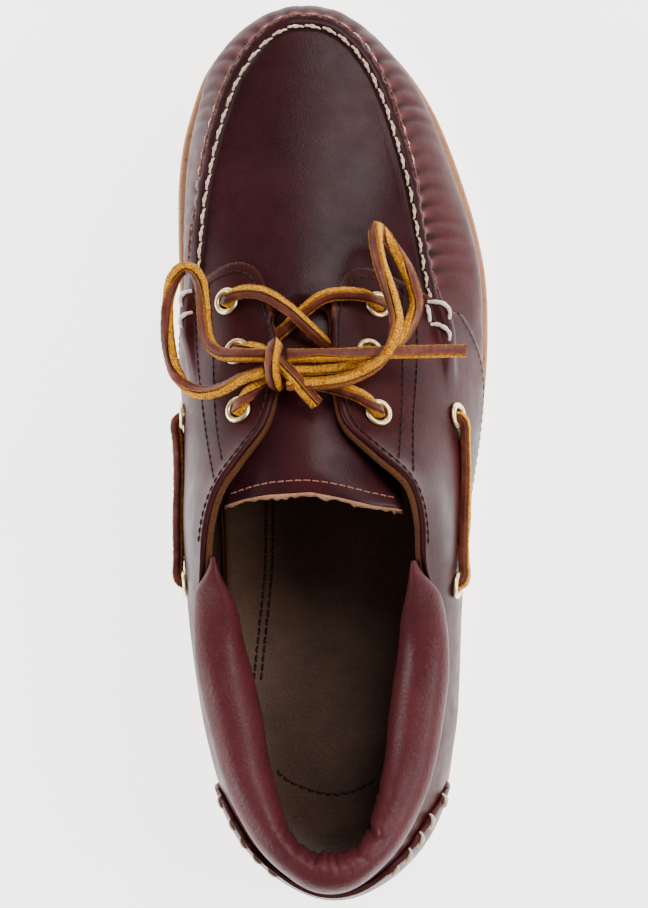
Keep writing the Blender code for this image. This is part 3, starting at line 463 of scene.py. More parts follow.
def sampled(run, line, at):
    """The points of a line at these distances along it."""
    return np.column_stack([np.interp(at, run, line[:, axis]) for axis in range(line.shape[1])])


def unit(vectors):
    return vectors / np.linalg.norm(vectors, axis=-1, keepdims=True)


def turn_of(y):
    """The place along one side, 0 at the heel and 1 at the toe, evenly round both ends."""
    return np.arccos(np.clip(-np.asarray(y, float) / HALF_LENGTH, -1, 1)) / math.pi


def along(turn):
    return -HALF_LENGTH * np.cos(math.pi * np.asarray(turn, float))

# %% [markdown]
# ## Ribs round the last
# Where a rib turns from the wall onto the top, the apron seam runs along it at the front of the
# shoe. So each point of the upper is known by its rib and by how far it lies from that shoulder:
# below it on the wall, above it on the apron.

# %% Ribs
def whole(lateral, medial):
    """One loop round the shoe, up the lateral side and back down the medial one."""
    return np.concatenate([lateral, medial[-2:0:-1]])


def round_shoe(one, other, name, other_name, turn):
    """One column round the whole shoe, smooth across the toe and the heel too."""
    up, down = turn_of(column(one, "y")), turn_of(column(other, "y"))
    a, b = column(one, name), column(other, other_name)
    keys = np.concatenate([-down[:0:-1], up, 2 - down[-2::-1], 2 + up[1:]])
    values = np.concatenate([b[:0:-1], a, b[-2::-1], a[1:]])
    return whole(smooth(keys, values, turn), smooth(keys, values, 2 - np.asarray(turn, float)))


def outward(loop):
    """Unit vectors in plan that point out of a loop."""
    run = np.roll(loop, -1, axis=0) - np.roll(loop, 1, axis=0)
    return unit(np.stack([run[:, 1], -run[:, 0]], axis=1))


def sole_edge(turn):
    x = round_shoe(OUTLINE, OUTLINE, "lateral", "medial", turn)
    return np.stack([x, whole(along(turn), along(turn))], axis=1)


def sole_height(name, y):
    """The sole's faces from the side. They have corners at the heel, so they aren't smoothed there."""
    return np.interp(y, column(SOLE_SIDE, "y"), column(SOLE_SIDE, name))


def sole_top(y):
    return looked_up(SOLE_SIDE, "top", y)


SPINE_ENDS = (-HALF_LENGTH + 36, HALF_LENGTH - 42)


def on_floor(ring, lift):
    """A loop laid on top of the sole, this far above it."""
    return np.column_stack([ring, sole_top(ring[:, 1]) + lift])


def to_spine(loop, share):
    """The loop drawn in towards the middle line of the shoe, where both its sides meet."""
    half = len(loop) // 2
    middle = (loop + loop[-np.arange(len(loop)) % len(loop)]) / 2
    y = np.clip(middle[:, 1], *SPINE_ENDS)
    x = np.interp(y, middle[: half + 1, 1], middle[: half + 1, 0])
    return loop * (1 - share) + np.stack([x, y], axis=1) * share


def ribs(turn):
    """Five points of each rib: feather, belly, shoulder, crown and top edge; and the seam's share."""
    edge = sole_edge(turn)
    row = {n: round_shoe(LATERAL_RIBS, MEDIAL_RIBS, n, n, turn) for n in RIB_COLUMNS}
    out = outward(edge)
    feather = edge - out * row["feather"][:, None]
    belly = feather + out * row["out"][:, None]
    feather = np.column_stack([feather, sole_top(feather[:, 1]) + GAP])
    belly = np.column_stack([belly, row["belly"]])
    shoulder = np.stack([row["shoulder_x"], row["shoulder_y"], row["shoulder_z"]], axis=1)
    top = np.stack([row["top_x"], row["top_y"], row["top_z"]], axis=1)
    chord = top - shoulder
    flat = np.linalg.norm(chord[:, :2], axis=1, keepdims=True)
    length = np.linalg.norm(chord, axis=1, keepdims=True)
    lift = np.column_stack([-chord[:, :2] / flat * chord[:, 2:] / length, flat / length])
    crown = (shoulder + top) / 2 + lift * row["crown"][:, None]
    return (feather, belly, shoulder, crown, top), row["rim"]


print("top of the sole:", [round(float(sole_top(y)), 1) for y in (-HALF_LENGTH, 0, HALF_LENGTH)], "mm")

# %% A smooth curve through each rib
def between(four, apart, shares):
    """Points between the middle two of four, on a curve that is smooth at both of them."""
    a, b, c, d = four
    before, here, after = apart
    leave = (c - b) + here * ((b - a) / before - (c - a) / (before + here))
    arrive = (c - b) + here * ((d - c) / after - (d - b) / (here + after))
    return [
        (2 * u**3 - 3 * u**2 + 1) * b + (u**3 - 2 * u**2 + u) * leave
        + (3 * u**2 - 2 * u**3) * c + (u**3 - u**2) * arrive
        for u in shares
    ]


def spline(points, steps):
    """A centripetal curve through the points of every rib, and the place of the third of them."""
    points = [2 * points[0] - points[1], *points, 2 * points[-1] - points[-2]]
    curve = []
    for four in zip(points, points[1:], points[2:], points[3:]):
        apart = [np.linalg.norm(q - p, axis=1, keepdims=True) ** 0.5 for p, q in zip(four, four[1:])]
        curve += between(four, apart, np.arange(steps) / steps)
    curve.append(points[-2])
    return np.stack(curve), 2 * steps

# %% [markdown]
# ## A closer net
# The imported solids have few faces. The dressing needs a rib every millimetre at the front, where
# the wall leather is gathered, and rows as close along the seam. Distances along a rib are counted
# from its shoulder, because every seam of the front follows that line.

# %% A closer net over the last
GATHERED_FROM = 32  # the y from which the ribs stand closer
ROWS_FROM, CLOSE_FROM, CLOSE_TO = -15, -3, 11.4  # distances from the shoulder at which rows thin out


def even_turns(front, back):
    """Turns whose ribs stand these many millimetres apart along the shoulder, at front and back."""
    turn = np.linspace(0, 1, 1401)
    loop = ribs(turn)[0][2]
    sides = loop[: len(turn)], np.vstack([loop[:1], loop[: len(turn) - 2 : -1]])
    step = sum(np.linalg.norm(np.diff(side, axis=0), axis=1) for side in sides) / 2
    middle = (along(turn[1:]) + along(turn[:-1])) / 2
    count = np.append(0, np.cumsum(step / np.where(middle > GATHERED_FROM, front, back)))
    return np.interp(np.linspace(0, count[-1], int(count[-1]) + 1), count, turn)


def fine_last(turn):
    """Rings of the last, each row's distance from the shoulder, its normals and the rim's share."""
    points, rim = ribs(turn)
    curve, at = spline(points, 16)
    steps = np.linalg.norm(np.diff(curve, axis=0), axis=2)
    run = np.vstack([np.zeros((1, curve.shape[1])), np.cumsum(steps, axis=0)])
    rings, rows = [], []
    for k in range(curve.shape[1]):
        low, high = -run[at, k], run[-1, k] - run[at, k]
        row = np.concatenate([
            np.linspace(low, ROWS_FROM, 10)[:-1],
            np.arange(ROWS_FROM, CLOSE_FROM, 1.2),
            np.arange(CLOSE_FROM, CLOSE_TO, 0.6),
            np.linspace(CLOSE_TO, high, 20),
        ])
        rings.append([np.interp(row - low, run[:, k], curve[:, k, axis]) for axis in range(3)])
        rows.append(row)
    rings = np.transpose(np.array(rings), (2, 0, 1))
    rows = np.array(rows).T
    ironed(rings, rows)
    up = np.gradient(rings, axis=0)
    round_it = np.roll(rings, -1, axis=1) - np.roll(rings, 1, axis=1)
    return rings, rows, unit(np.cross(round_it, up)), rim

# %% The apron ironed flat
APRON_ROW, APRON_Y = 7, 44  # the apron's middle begins at this row and this y


def ironed(rings, rows):
    """The apron's middle as one smooth sheet: where the sides' ribs meet they'd leave a crease."""
    zone = (rows > APRON_ROW) & (rings[:, :, 1] > APRON_Y)
    x, y, z = (rings[:, :, axis] for axis in range(3))
    u, v = (x + 9) / 40, (y - 90) / 50  # about -1 to 1 over the apron
    terms = np.stack([u**a * v**b for a in range(7) for b in range(7 - a)], axis=-1)
    wide, tall = (np.linalg.norm(np.gradient(rings, axis=axis), axis=2) for axis in (1, 0))
    spacing = np.sqrt(wide * tall)
    weight = spacing[zone][:, None]
    fit = np.linalg.lstsq(terms[zone] * weight, z[zone] * weight[:, 0], rcond=None)[0]
    share = np.clip((rows - APRON_ROW) / 9, 0, 1) * np.clip((y - APRON_Y - 4) / 8, 0, 1)
    share = share * share * (3 - 2 * share) * zone
    rings[:, :, 2] += share * ((terms * fit).sum(axis=-1) - z)

# %% The net itself
TURN = even_turns(1.0, 2.0)
LAST, ROWS, NORMAL, RIM = fine_last(TURN)
SHOULDER = int(np.argmin(np.abs(ROWS[:, 0])))
around = np.linalg.norm(np.roll(LAST[SHOULDER], -1, axis=0) - LAST[SHOULDER], axis=1)
ARC = np.append(0, np.cumsum(around)[:-1])
ARC -= ARC[len(TURN) - 1]
ALONG = LAST[SHOULDER, :, 1]
LATERAL_SIDE = np.arange(LAST.shape[1]) < len(TURN) - 1
for k, arc in enumerate(ARC):  # from here on a row is counted from the seam, not from the shoulder
    outer, inner = (np.interp(arc, column(SEAM, "along"), column(SEAM, key)) for key in ("outer", "inner"))
    counted = (-80, ROWS_FROM, *SEAM_INWARD, SEAM_INWARD[1] + 60)
    ROWS[:, k] = np.interp(ROWS[:, k], (-80, ROWS_FROM, outer, inner, inner + 60), counted)
print("net:", LAST.shape[0], "rows by", LAST.shape[1], "ribs")

# %% [markdown]
# ## Relief of the upper
# The apron seam is a bead: the edge of the wall leather is turned up against the apron and sewn
# through, so it stands up in a rounded ridge with a groove inside it. The wall is longer than the
# apron's edge, so the thread gathers it in small pleats, deepest round the toe's shoulders.

# %% Bead, pleats and soft creases
BEAD = (
    ("inward", "rise"),
    (-3.0, 0.0), (-2.2, 0.1), (-1.2, 0.6), (-0.4, 1.5), (0.4, 2.1), (1.4, 2.3), (2.6, 2.3),
    (3.8, 2.2), (4.6, 1.7), (5.2, 0.9), (5.8, 0.35), (6.6, 0.2), (8.4, 0.0),
)
PLEAT = 5.4  # from one pleat, and one stitch of the seam, to the next
PLEAT_REACH = 5.6  # how far down the wall a pleat fades
PLEAT_DEEP, PLEAT_PROUD = 2.1, 0.3
PLEAT_FROM = -0.9  # pleats are full from this row down
# How much the wall is gathered on each side.
GATHER_LATERAL = (
    ("y", "share"),
    (46.0, 0.0), (54.0, 0.5), (66.0, 1.0), (100.0, 1.0), (118.0, 0.75), (134.0, 0.5), (141.0, 0.4),
)
GATHER_MEDIAL = (
    ("y", "share"),
    (50.0, 0.0), (58.0, 0.4), (74.0, 0.8), (100.0, 0.75), (118.0, 0.6), (134.0, 0.45), (141.0, 0.4),
)
WAVES = np.random.default_rng(7).uniform(0, 2 * math.pi, (6, 2))
OVER_BEAD = 0.95  # a quarter lies over a bead pressed this flat


def ease(low, high, value):
    share = np.clip((np.asarray(value, float) - low) / (high - low), 0, 1)
    return share * share * (3 - 2 * share)


def drift(arc, which=0, pace=17.0):
    """A slow wandering along the seam, so that nothing repeats exactly."""
    return np.sin(arc / pace + WAVES[which, 0]) + 0.6 * np.sin(arc / (pace * 0.41) + WAVES[which, 1])


def pleats():
    """How far each point of the wall lies between two pleats, and how deep the pleats are there."""
    place = (ARC + 0.7 * drift(ARC, 0)) / PLEAT
    valley = np.abs(np.cos(math.pi * place)) ** 5
    strength = np.where(LATERAL_SIDE, straight(GATHER_LATERAL, ALONG), straight(GATHER_MEDIAL, ALONG))
    strength = strength * (1 + 0.3 * drift(ARC, 1, 9.0))
    reach = PLEAT_REACH * (1 + 0.3 * drift(ARC, 2, 7.0))
    fading = np.exp((ROWS - PLEAT_FROM) / reach)
    down = np.where(ROWS < PLEAT_FROM, fading, 1 - ease(PLEAT_FROM, 1.6, ROWS))
    return valley, strength * down


def relief():
    bead = straight(BEAD, ROWS) * RIM * (1 + 0.07 * drift(ARC, 3, 6.0))
    valley, depth = pleats()
    swell = 0.22 * np.sin(ARC / 11 + ROWS / 9) * ease(-16, -26, ROWS) * ease(30, 60, ALONG)
    return bead - PLEAT_DEEP * valley * depth + PLEAT_PROUD * depth * (1 - valley) + swell


RELIEF = relief()
DRESSED = LAST + NORMAL * RELIEF[:, :, None]
rolled = 1 + 0.25 * ease(30, 38, ALONG) * ease(54, 48, ALONG)  # thicker where the quarters end on it
SMOOTH_BEAD = straight(BEAD, ROWS) * RIM * rolled
COVER = LAST + NORMAL * (SMOOTH_BEAD * OVER_BEAD + GAP + OVERLAY)[:, :, None]
print("bead and pleats: from", round(RELIEF.min(), 2), "to", round(RELIEF.max(), 2), "mm")

# %% [markdown]
# ## From a net to a piece
# Leather is a sheet, so most pieces are two nets, one for each face, closed round their edges. This
# helper makes the mesh in metres, keeps the object at the origin and turns every face outward.

# %% Nets into pieces
def put_marks(mesh, marks):
    """Writes three marks for each point of a mesh, as a colour that its finish can read."""
    layer = mesh.color_attributes.new("marks", "FLOAT_COLOR", "POINT")
    colour = np.ones((len(mesh.vertices), 4), np.float32)
    colour[:, :3] = marks
    layer.data.foreach_set("color", colour.ravel())


def piece_of(name, points, faces, finishes, finish_of=None, marks=None, welded=False):
    mesh = bpy.data.meshes.new(name)
    mesh.from_pydata((np.asarray(points, float).reshape(-1, 3) * MM).tolist(), [], faces)
    for finish in finishes:
        mesh.materials.append(finish)
    if finish_of is not None:
        mesh.polygons.foreach_set("material_index", np.asarray(finish_of, np.int32))
    mesh.polygons.foreach_set("use_smooth", np.ones(len(mesh.polygons), bool))
    if marks is not None:
        put_marks(mesh, np.asarray(marks).reshape(-1, 3))
    made = bpy.data.objects.new(name, mesh)
    bpy.context.scene.collection.objects.link(made)
    shape = bmesh.new()
    shape.from_mesh(mesh)
    if welded:
        bmesh.ops.remove_doubles(shape, verts=shape.verts, dist=0.00003)
        bmesh.ops.dissolve_degenerate(shape, edges=shape.edges, dist=0.00001)
    bmesh.ops.recalc_face_normals(shape, faces=shape.faces)
    shape.to_mesh(mesh)
    shape.free()
    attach(made, "root")
    return made

# %% Faces between rings
def loops(rings, start=0, closed=True, back=False):
    """Faces between rings of points, counted from a first point."""
    count, size = len(rings), len(rings[0])
    faces = []
    for j in range(count if back else count - 1):
        here, there = start + j * size, start + (j + 1) % count * size
        for i in range(size if closed else size - 1):
            k = (i + 1) % size
            faces.append((here + i, here + k, there + k, there + i))
    return faces


def both_ends(rings, start=0):
    """A face across the first ring and one across the last."""
    size, last = len(rings[0]), start + (len(rings) - 1) * len(rings[0])
    return [tuple(range(start, start + size)), tuple(range(last, last + size))]


def tree_over(rings, closed=True):
    """A search tree of a net, which runs round the shoe if it is closed."""
    return BVHTree.FromPolygons([Vector(p) for p in rings.reshape(-1, 3)], loops(rings, closed=closed))

# %% Rays onto the leather
SIDES = (("lateral", 1), ("medial", -1))
ABOVE, DOWN = 200, (0, 0, -1)  # rays start this high over the shoe
ASIDE = 90  # or this far to one side of it


def met(tree, start, direction):
    """Where a ray first meets the leather, and the leather's normal there on the side it came from."""
    place, normal, _, _ = tree.ray_cast(Vector(start), Vector(direction))
    if place is None:
        return None, None
    if normal.dot(Vector(direction)) > 0:
        normal = -normal
    return place, normal


ON_COVER = tree_over(COVER)
print("a search tree over the quarters, from", COVER.shape[0] * COVER.shape[1], "points")

# %% [markdown]
# ## Mixing finishes
# A finish here is a small graph of nodes. Noise at several sizes gives drifts of dye, pores and
# fibres, and the attribute "marks" of a mesh says where it is worn with painted highlights and where shade
# is painted on it.
# The helpers add a node and join it in one line.

# %% Helpers for finishes
def new_finish(name):
    made = bpy.data.materials.new(name)
    made.use_nodes = True
    return made


def add(finish, kind, settings=None, **inputs):
    """A node of that kind. An input is named with _ for a space, or iN for its number."""
    made = finish.node_tree.nodes.new("ShaderNode" + kind)
    for key, value in (settings or {}).items():
        setattr(made, key, value)
    for key, value in inputs.items():
        numbered = key[0] == "i" and key[1:].isdigit()
        socket = made.inputs[int(key[1:]) if numbered else key.replace("_", " ")]
        if isinstance(value, bpy.types.NodeSocket):
            finish.node_tree.links.new(value, socket)
        else:
            socket.default_value = value
    return made


def place_in(finish, stretch=(1, 1, 1)):
    here = add(finish, "TexCoord").outputs["Object"]
    return add(finish, "Mapping", Vector=here, Scale=stretch).outputs["Vector"]


def cloud(finish, where, size, detail=4.0, rough=0.55, warp=0.0):
    """Noise whose lumps are about this many millimetres wide."""
    noise = add(
        finish, "TexNoise", Vector=where, Scale=1000 / size, Detail=detail, Roughness=rough, Distortion=warp
    )
    return noise.outputs["Fac"]

# %% Colours out of noise
def ramp(finish, factor, *stops):
    made = add(finish, "ValToRGB", i0=factor)
    band = made.color_ramp
    while len(band.elements) < len(stops):
        band.elements.new(0.5)
    for element, (at, colour) in zip(band.elements, stops):
        element.position = at
        element.color = (colour,) * 3 + (1,) if isinstance(colour, (int, float)) else (*colour, 1)
    return made.outputs["Color"]


def blend(finish, share, first, second, how="MIX"):
    made = add(finish, "MixRGB", {"blend_type": how}, i0=share)
    for slot, colour in ((1, first), (2, second)):
        if isinstance(colour, bpy.types.NodeSocket):
            finish.node_tree.links.new(colour, made.inputs[slot])
        else:
            made.inputs[slot].default_value = (*colour, 1)
    return made.outputs["Color"]


def times(finish, colour, factor, share=1.0):
    return blend(finish, share, colour, factor, "MULTIPLY")


def sums(finish, how, first, second, limit=False):
    return add(finish, "Math", {"operation": how, "use_clamp": limit}, i0=first, i1=second).outputs[0]

# %% Marks, bumps and the shader
def marks_of(finish):
    """The three marks of a mesh, red, green and blue."""
    layer = add(finish, "Attribute", {"attribute_name": "marks"}).outputs["Color"]
    return add(finish, "SeparateColor", Color=layer).outputs[:3]


def rough_surface(finish, *layers):
    """Bumps laid on each other, each (height, depth in mm, strength)."""
    normal = None
    for height, depth, strength in layers:
        made = add(finish, "Bump", Height=height, Distance=depth * MM, Strength=strength)
        if normal is not None:
            finish.node_tree.links.new(normal, made.inputs["Normal"])
        normal = made.outputs["Normal"]
    return normal


def shade(finish, colour, rough, normal=None, **fixed):
    shader = finish.node_tree.nodes["Principled BSDF"]
    links = finish.node_tree.links
    links.new(colour, shader.inputs["Base Color"])
    links.new(rough, shader.inputs["Roughness"])
    if normal is not None:
        links.new(normal, shader.inputs["Normal"])
    for key, value in fixed.items():
        shader.inputs[key.replace("_", " ")].default_value = value
    return finish


print("finishes of the solids, to be replaced:", len(bpy.data.materials))

# %% [markdown]
# ## Oxblood leather
# Waxed pull-up leather is dyed through and finished with oil. It is darkest on the flat apron,
# redder on the walls, and paler where it was pulled over an edge, with painted highlights there too,
# and shade is painted into its folds. Its pores are fine, so the bumps are shallow and the shine stays
# broad.

# %% Leathers
# Painted shade: the colour laid into the depths of folds, pleat valleys and grooves.
PAINTED_SHADE_COLOUR = (0.008, 0.0035, 0.003)  # the colour of a fold's depth


def leather(name, flat, wall, rub_and_highlight_colour, pore, depth, gloss, shine=0.3, drifts=(0.68, 1.3)):
    """Dyed leather: its colour lying flat, on a wall, and where worn and painted with highlights; its
    pores' width and depth in mm.
    """
    finish = new_finish(name)
    where = place_in(finish)
    rub_and_highlight, tone, dark = marks_of(finish)
    dye = ramp(finish, cloud(finish, where, 24, 5, 0.6, 0.4), (0.3, drifts[0]), (0.72, drifts[1]))
    mottle = ramp(finish, cloud(finish, where, 3.6, 6, 0.65), (0.3, 0.91), (0.72, 1.08))
    colour = times(finish, times(finish, blend(finish, tone, flat, wall), dye), mottle)
    patchy = ramp(finish, cloud(finish, where, 2.2, 5), (0.25, 0.55), (0.7, 1.0))
    # Worn and highlit places take the paler colour: partly wear, partly a painted highlight.
    colour = blend(finish, sums(finish, "MULTIPLY", rub_and_highlight, patchy, True), colour, rub_and_highlight_colour)
    # Painted shade darkens the folds and hollows that the dark mark gives.
    colour = blend(finish, sums(finish, "MULTIPLY", dark, 0.92), colour, PAINTED_SHADE_COLOUR)
    cells = add(
        finish, "TexVoronoi", {"feature": "SMOOTH_F1"}, Vector=where, Scale=1000 / pore, Smoothness=0.35
    ).outputs["Distance"]
    grain = sums(finish, "ADD", cells, cloud(finish, where, pore * 0.4, 3))
    pored = times(finish, colour, ramp(finish, cells, (0.0, 1.15), (0.8, 0.6)))
    colour = blend(finish, 0.35, colour, pored)
    rough = add(
        finish, "MapRange", Value=cloud(finish, where, 7, 5),
        From_Min=0.3, From_Max=0.7, To_Min=gloss[0], To_Max=gloss[1],
    ).outputs[0]
    rough = sums(finish, "ADD", rough, sums(finish, "MULTIPLY", tone, 0.16), True)
    normal = rough_surface(
        finish,
        (cloud(finish, where, 9, 3), 0.4, 0.14),
        (ramp(finish, creases(finish, where), (0.0, 0.0), (0.09, 1.0)), 0.05, 0.12),
        (grain, depth, 0.5),
    )
    return shade(finish, colour, rough, normal, Specular_IOR_Level=shine)


def creases(finish, where):
    """Fine lines round cells some 5 mm wide, bent by noise."""
    bend = add(finish, "TexNoise", Vector=where, Scale=160.0, Detail=3.0).outputs["Color"]
    moved = add(finish, "VectorMath", {"operation": "SCALE"}, i0=bend, Scale=0.006).outputs[0]
    bent = add(finish, "VectorMath", {"operation": "ADD"}, i0=where, i1=moved).outputs[0]
    lines = add(finish, "TexVoronoi", {"feature": "DISTANCE_TO_EDGE"}, Vector=bent, Scale=210.0)
    return lines.outputs["Distance"]

# %% Five leathers
oxblood = leather(
    "oxblood_leather", (0.035, 0.0085, 0.0105), (0.060, 0.0068, 0.0072), (0.26, 0.045, 0.034),
    0.75, 0.06, (0.24, 0.38), 0.11,
)
quarter_leather = leather(
    "oxblood_quarter_leather", (0.032, 0.0070, 0.0085), (0.060, 0.0068, 0.0072), (0.17, 0.055, 0.018),
    0.75, 0.06, (0.24, 0.38), 0.12,
)
burgundy = leather(
    "burgundy_collar_leather", (0.076, 0.0136, 0.0172), (0.110, 0.0185, 0.0232), (0.22, 0.05, 0.045),
    1.15, 0.16, (0.28, 0.42), 0.22, (0.78, 1.18),
)
# The insole's second colour is for its front, painted lighter.
insole_leather = leather(
    "brown_insole_leather", (0.070, 0.032, 0.018), (0.135, 0.064, 0.034), (0.20, 0.10, 0.055),
    0.95, 0.1, (0.42, 0.56),
)
lining = leather(
    "brown_lining_leather", (0.035, 0.019, 0.013), (0.055, 0.03, 0.02), (0.10, 0.06, 0.04),
    0.9, 0.08, (0.5, 0.65),
)
print("leathers:", [made.name for made in (oxblood, quarter_leather, burgundy, insole_leather, lining)])

# %% [markdown]
# ## Cut edges, thread and rawhide
# Where leather is cut, its fibres show, paler than its dyed face unless the edge is inked. The
# thread is waxed cotton, thick and tan round the apron. All of them are a tangle of fibres between
# a dark and a pale colour. The rawhide lace keeps a brown grain on one face, ochre on its cut sides
# and a hairy mottle on the flesh side.

# %% Raw edge, threads, rawhide
def fibrous(name, dark, pale, size, rough=0.75, depth=0.15, stretch=(1, 1, 1)):
    finish = new_finish(name)
    where = place_in(finish, stretch)
    colour = ramp(finish, cloud(finish, where, size, 6, 0.7), (0.32, dark), (0.68, pale))
    colour = times(finish, colour, ramp(finish, cloud(finish, where, 14, 3), (0.3, 0.6), (0.7, 1.2)), 0.5)
    tangle = cloud(finish, where, size * 0.5, 8, 0.75, 1.5)
    rough_at = ramp(finish, tangle, (0.2, rough - 0.12), (0.8, min(1.0, rough + 0.12)))
    normal = rough_surface(finish, (tangle, depth, 0.8))
    return shade(finish, colour, rough_at, normal, Specular_IOR_Level=0.2)


raw_edge = fibrous(
    "raw_edge_leather", (0.014, 0.004, 0.002), (0.20, 0.065, 0.016), 0.45, depth=0.35, stretch=(1, 1, 1.6)
)
dark_edge = fibrous("burnished_edge_leather", (0.040, 0.007, 0.008), (0.10, 0.018, 0.018), 0.5, 0.5, 0.1)
tongue_edge = fibrous("raw_tongue_edge", (0.34, 0.11, 0.045), (0.88, 0.48, 0.27), 0.5, depth=0.4)
tan_thread = fibrous("tan_waxed_thread", (0.62, 0.40, 0.26), (1.0, 0.84, 0.66), 0.5, 0.55, 0.08)
rose_thread = fibrous("rose_waxed_thread", (0.30, 0.075, 0.055), (0.62, 0.24, 0.19), 0.4, 0.55, 0.06)
wine_thread = fibrous("wine_waxed_thread", (0.12, 0.026, 0.022), (0.40, 0.13, 0.10), 0.5, 0.55, 0.06)
white_thread = fibrous("pale_waxed_thread", (0.72, 0.54, 0.48), (1.0, 0.88, 0.82), 0.6, 0.5, 0.06)
dark_thread = fibrous("dark_waxed_thread", (0.018, 0.008, 0.008), (0.075, 0.03, 0.028), 0.4, 0.45, 0.06)

# %% Rawhide
def rawhide_finish():
    finish = new_finish("rawhide_lace")
    where = place_in(finish)
    _, cut_side, flesh_side = marks_of(finish)
    fine = cloud(finish, where, 0.6, 8, 0.8, 0.5)
    slow = cloud(finish, where, 5.5, 5, 0.65, 0.5)
    hair = cloud(finish, where, 0.25, 6, 0.8, 1.0)
    grain = ramp(
        finish, slow,
        (0.3, (0.070, 0.014, 0.008)), (0.55, (0.125, 0.026, 0.014)), (0.78, (0.21, 0.050, 0.026)),
    )
    cut = ramp(
        finish, fine,
        (0.42, (0.17, 0.042, 0.002)), (0.50, (0.62, 0.235, 0.006)), (0.60, (0.98, 0.50, 0.035)),
    )
    flesh = ramp(
        finish, fine,
        (0.38, (0.09, 0.020, 0.010)), (0.5, (0.27, 0.075, 0.018)), (0.66, (0.60, 0.25, 0.045)),
    )
    colour = blend(finish, flesh_side, blend(finish, cut_side, grain, cut), flesh)
    colour = times(finish, colour, ramp(finish, slow, (0.3, 0.74), (0.7, 1.15)), 0.6)
    open_side = sums(finish, "ADD", cut_side, flesh_side)
    height = sums(finish, "MULTIPLY", hair, sums(finish, "ADD", 0.35, open_side))
    rough = sums(finish, "ADD", 0.46, sums(finish, "MULTIPLY", 0.3, open_side), True)
    normal = rough_surface(finish, (slow, 0.2, 0.3), (height, 0.16, 0.75))
    return shade(finish, colour, rough, normal, Specular_IOR_Level=0.2)


rawhide = rawhide_finish()
print("three edges, five threads and", rawhide.name)

# %% [markdown]
# ## Gum rubber, brass and the dark of a hole
# Gum rubber is a pale brown with darker crumbs of recycled sole in it, a little dusty. The eyelets
# are pale brass, polished but not even. The hole inside one is a nearly black disc of painted shade.

# %% Rubber and brass
def gum_finish():
    finish = new_finish("gum_rubber")
    where = place_in(finish)
    body = ramp(finish, cloud(finish, where, 9, 5), (0.3, (0.36, 0.145, 0.055)), (0.7, (0.52, 0.235, 0.10)))
    crumbs = add(finish, "TexVoronoi", {"feature": "F1"}, Vector=where, Scale=620.0, Randomness=1.0)
    speck = ramp(finish, crumbs.outputs["Distance"], (0.0, 1.0), (0.2, 0.9), (0.3, 0.0))
    chance = add(finish, "SeparateColor", Color=crumbs.outputs["Color"]).outputs[0]
    chosen = ramp(finish, chance, (0.72, 0.0), (0.8, 0.8))
    colour = blend(finish, sums(finish, "MULTIPLY", speck, chosen), body, (0.12, 0.045, 0.022))
    dust = ramp(finish, cloud(finish, where, 1.1, 6), (0.3, 0.75), (0.75, 1.2))
    colour = times(finish, colour, dust, 0.5)
    rough = ramp(finish, cloud(finish, where, 4, 5), (0.3, 0.5), (0.7, 0.72))
    normal = rough_surface(finish, (cloud(finish, where, 0.5, 5), 0.06, 0.6), (speck, 0.05, 0.4))
    return shade(finish, colour, rough, normal)


def brass_finish():
    finish = new_finish("pale_brass")
    where = place_in(finish)
    shine = cloud(finish, where, 1.6, 6, 0.7)
    colour = ramp(finish, shine, (0.3, (0.82, 0.60, 0.26)), (0.6, (1.0, 0.86, 0.52)))
    rough = ramp(finish, cloud(finish, where, 0.8, 6), (0.25, 0.28), (0.75, 0.42))
    normal = rough_surface(finish, (cloud(finish, where, 0.5, 4), 0.01, 0.3))
    return shade(finish, colour, rough, normal, Metallic=1.0)


gum, brass = gum_finish(), brass_finish()
hole_dark = fibrous("shadow_in_a_hole", (0.004, 0.002, 0.002), (0.02, 0.01, 0.008), 1.0)
print("rubber, brass and hole:", gum.name, brass.name, hole_dark.name)

# %% [markdown]
# ## The sole
# A boat shoe stands on a thin siped sole with a low heel, moulded in one piece with the rubber
# side that the upper sits in. Its side has a step all round and fine ribs above it. The lugs come
# from zigzag grooves cut right across the tread.

# %% Sole
def cut_with(piece, tool, how="DIFFERENCE"):
    change = piece.modifiers.new("cut", "BOOLEAN")
    change.operation, change.object, change.solver = how, tool, "EXACT"
    change.material_mode = "TRANSFER"
    bpy.context.view_layer.objects.active = piece
    bpy.ops.object.modifier_apply(modifier=change.name)
    bpy.data.objects.remove(tool, do_unlink=True)
    return piece


def prism_of(outline, axis, low, high, finish):
    """A straight bar with an outline seen along one axis."""
    points, count = [], len(outline)
    for end in (low, high):
        for a, b in outline:
            point = [a, b]
            point.insert(axis, end)
            points.append(point)
    faces = [tuple(range(count)), tuple(range(2 * count - 1, count - 1, -1))]
    faces += [(i, (i + 1) % count, count + (i + 1) % count, count + i) for i in range(count)]
    return piece_of("cutter", points, faces, [finish])


SIDE_RIB, SIDE_RIB_DEPTH = 2.6, 0.14
GROOVE_DEEP, GROOVE_HALF, ZIGZAG = 2.2, 1.7, 1.5
CUT_HALF = 66  # half the length of a groove's cutter, past both edges of the sole


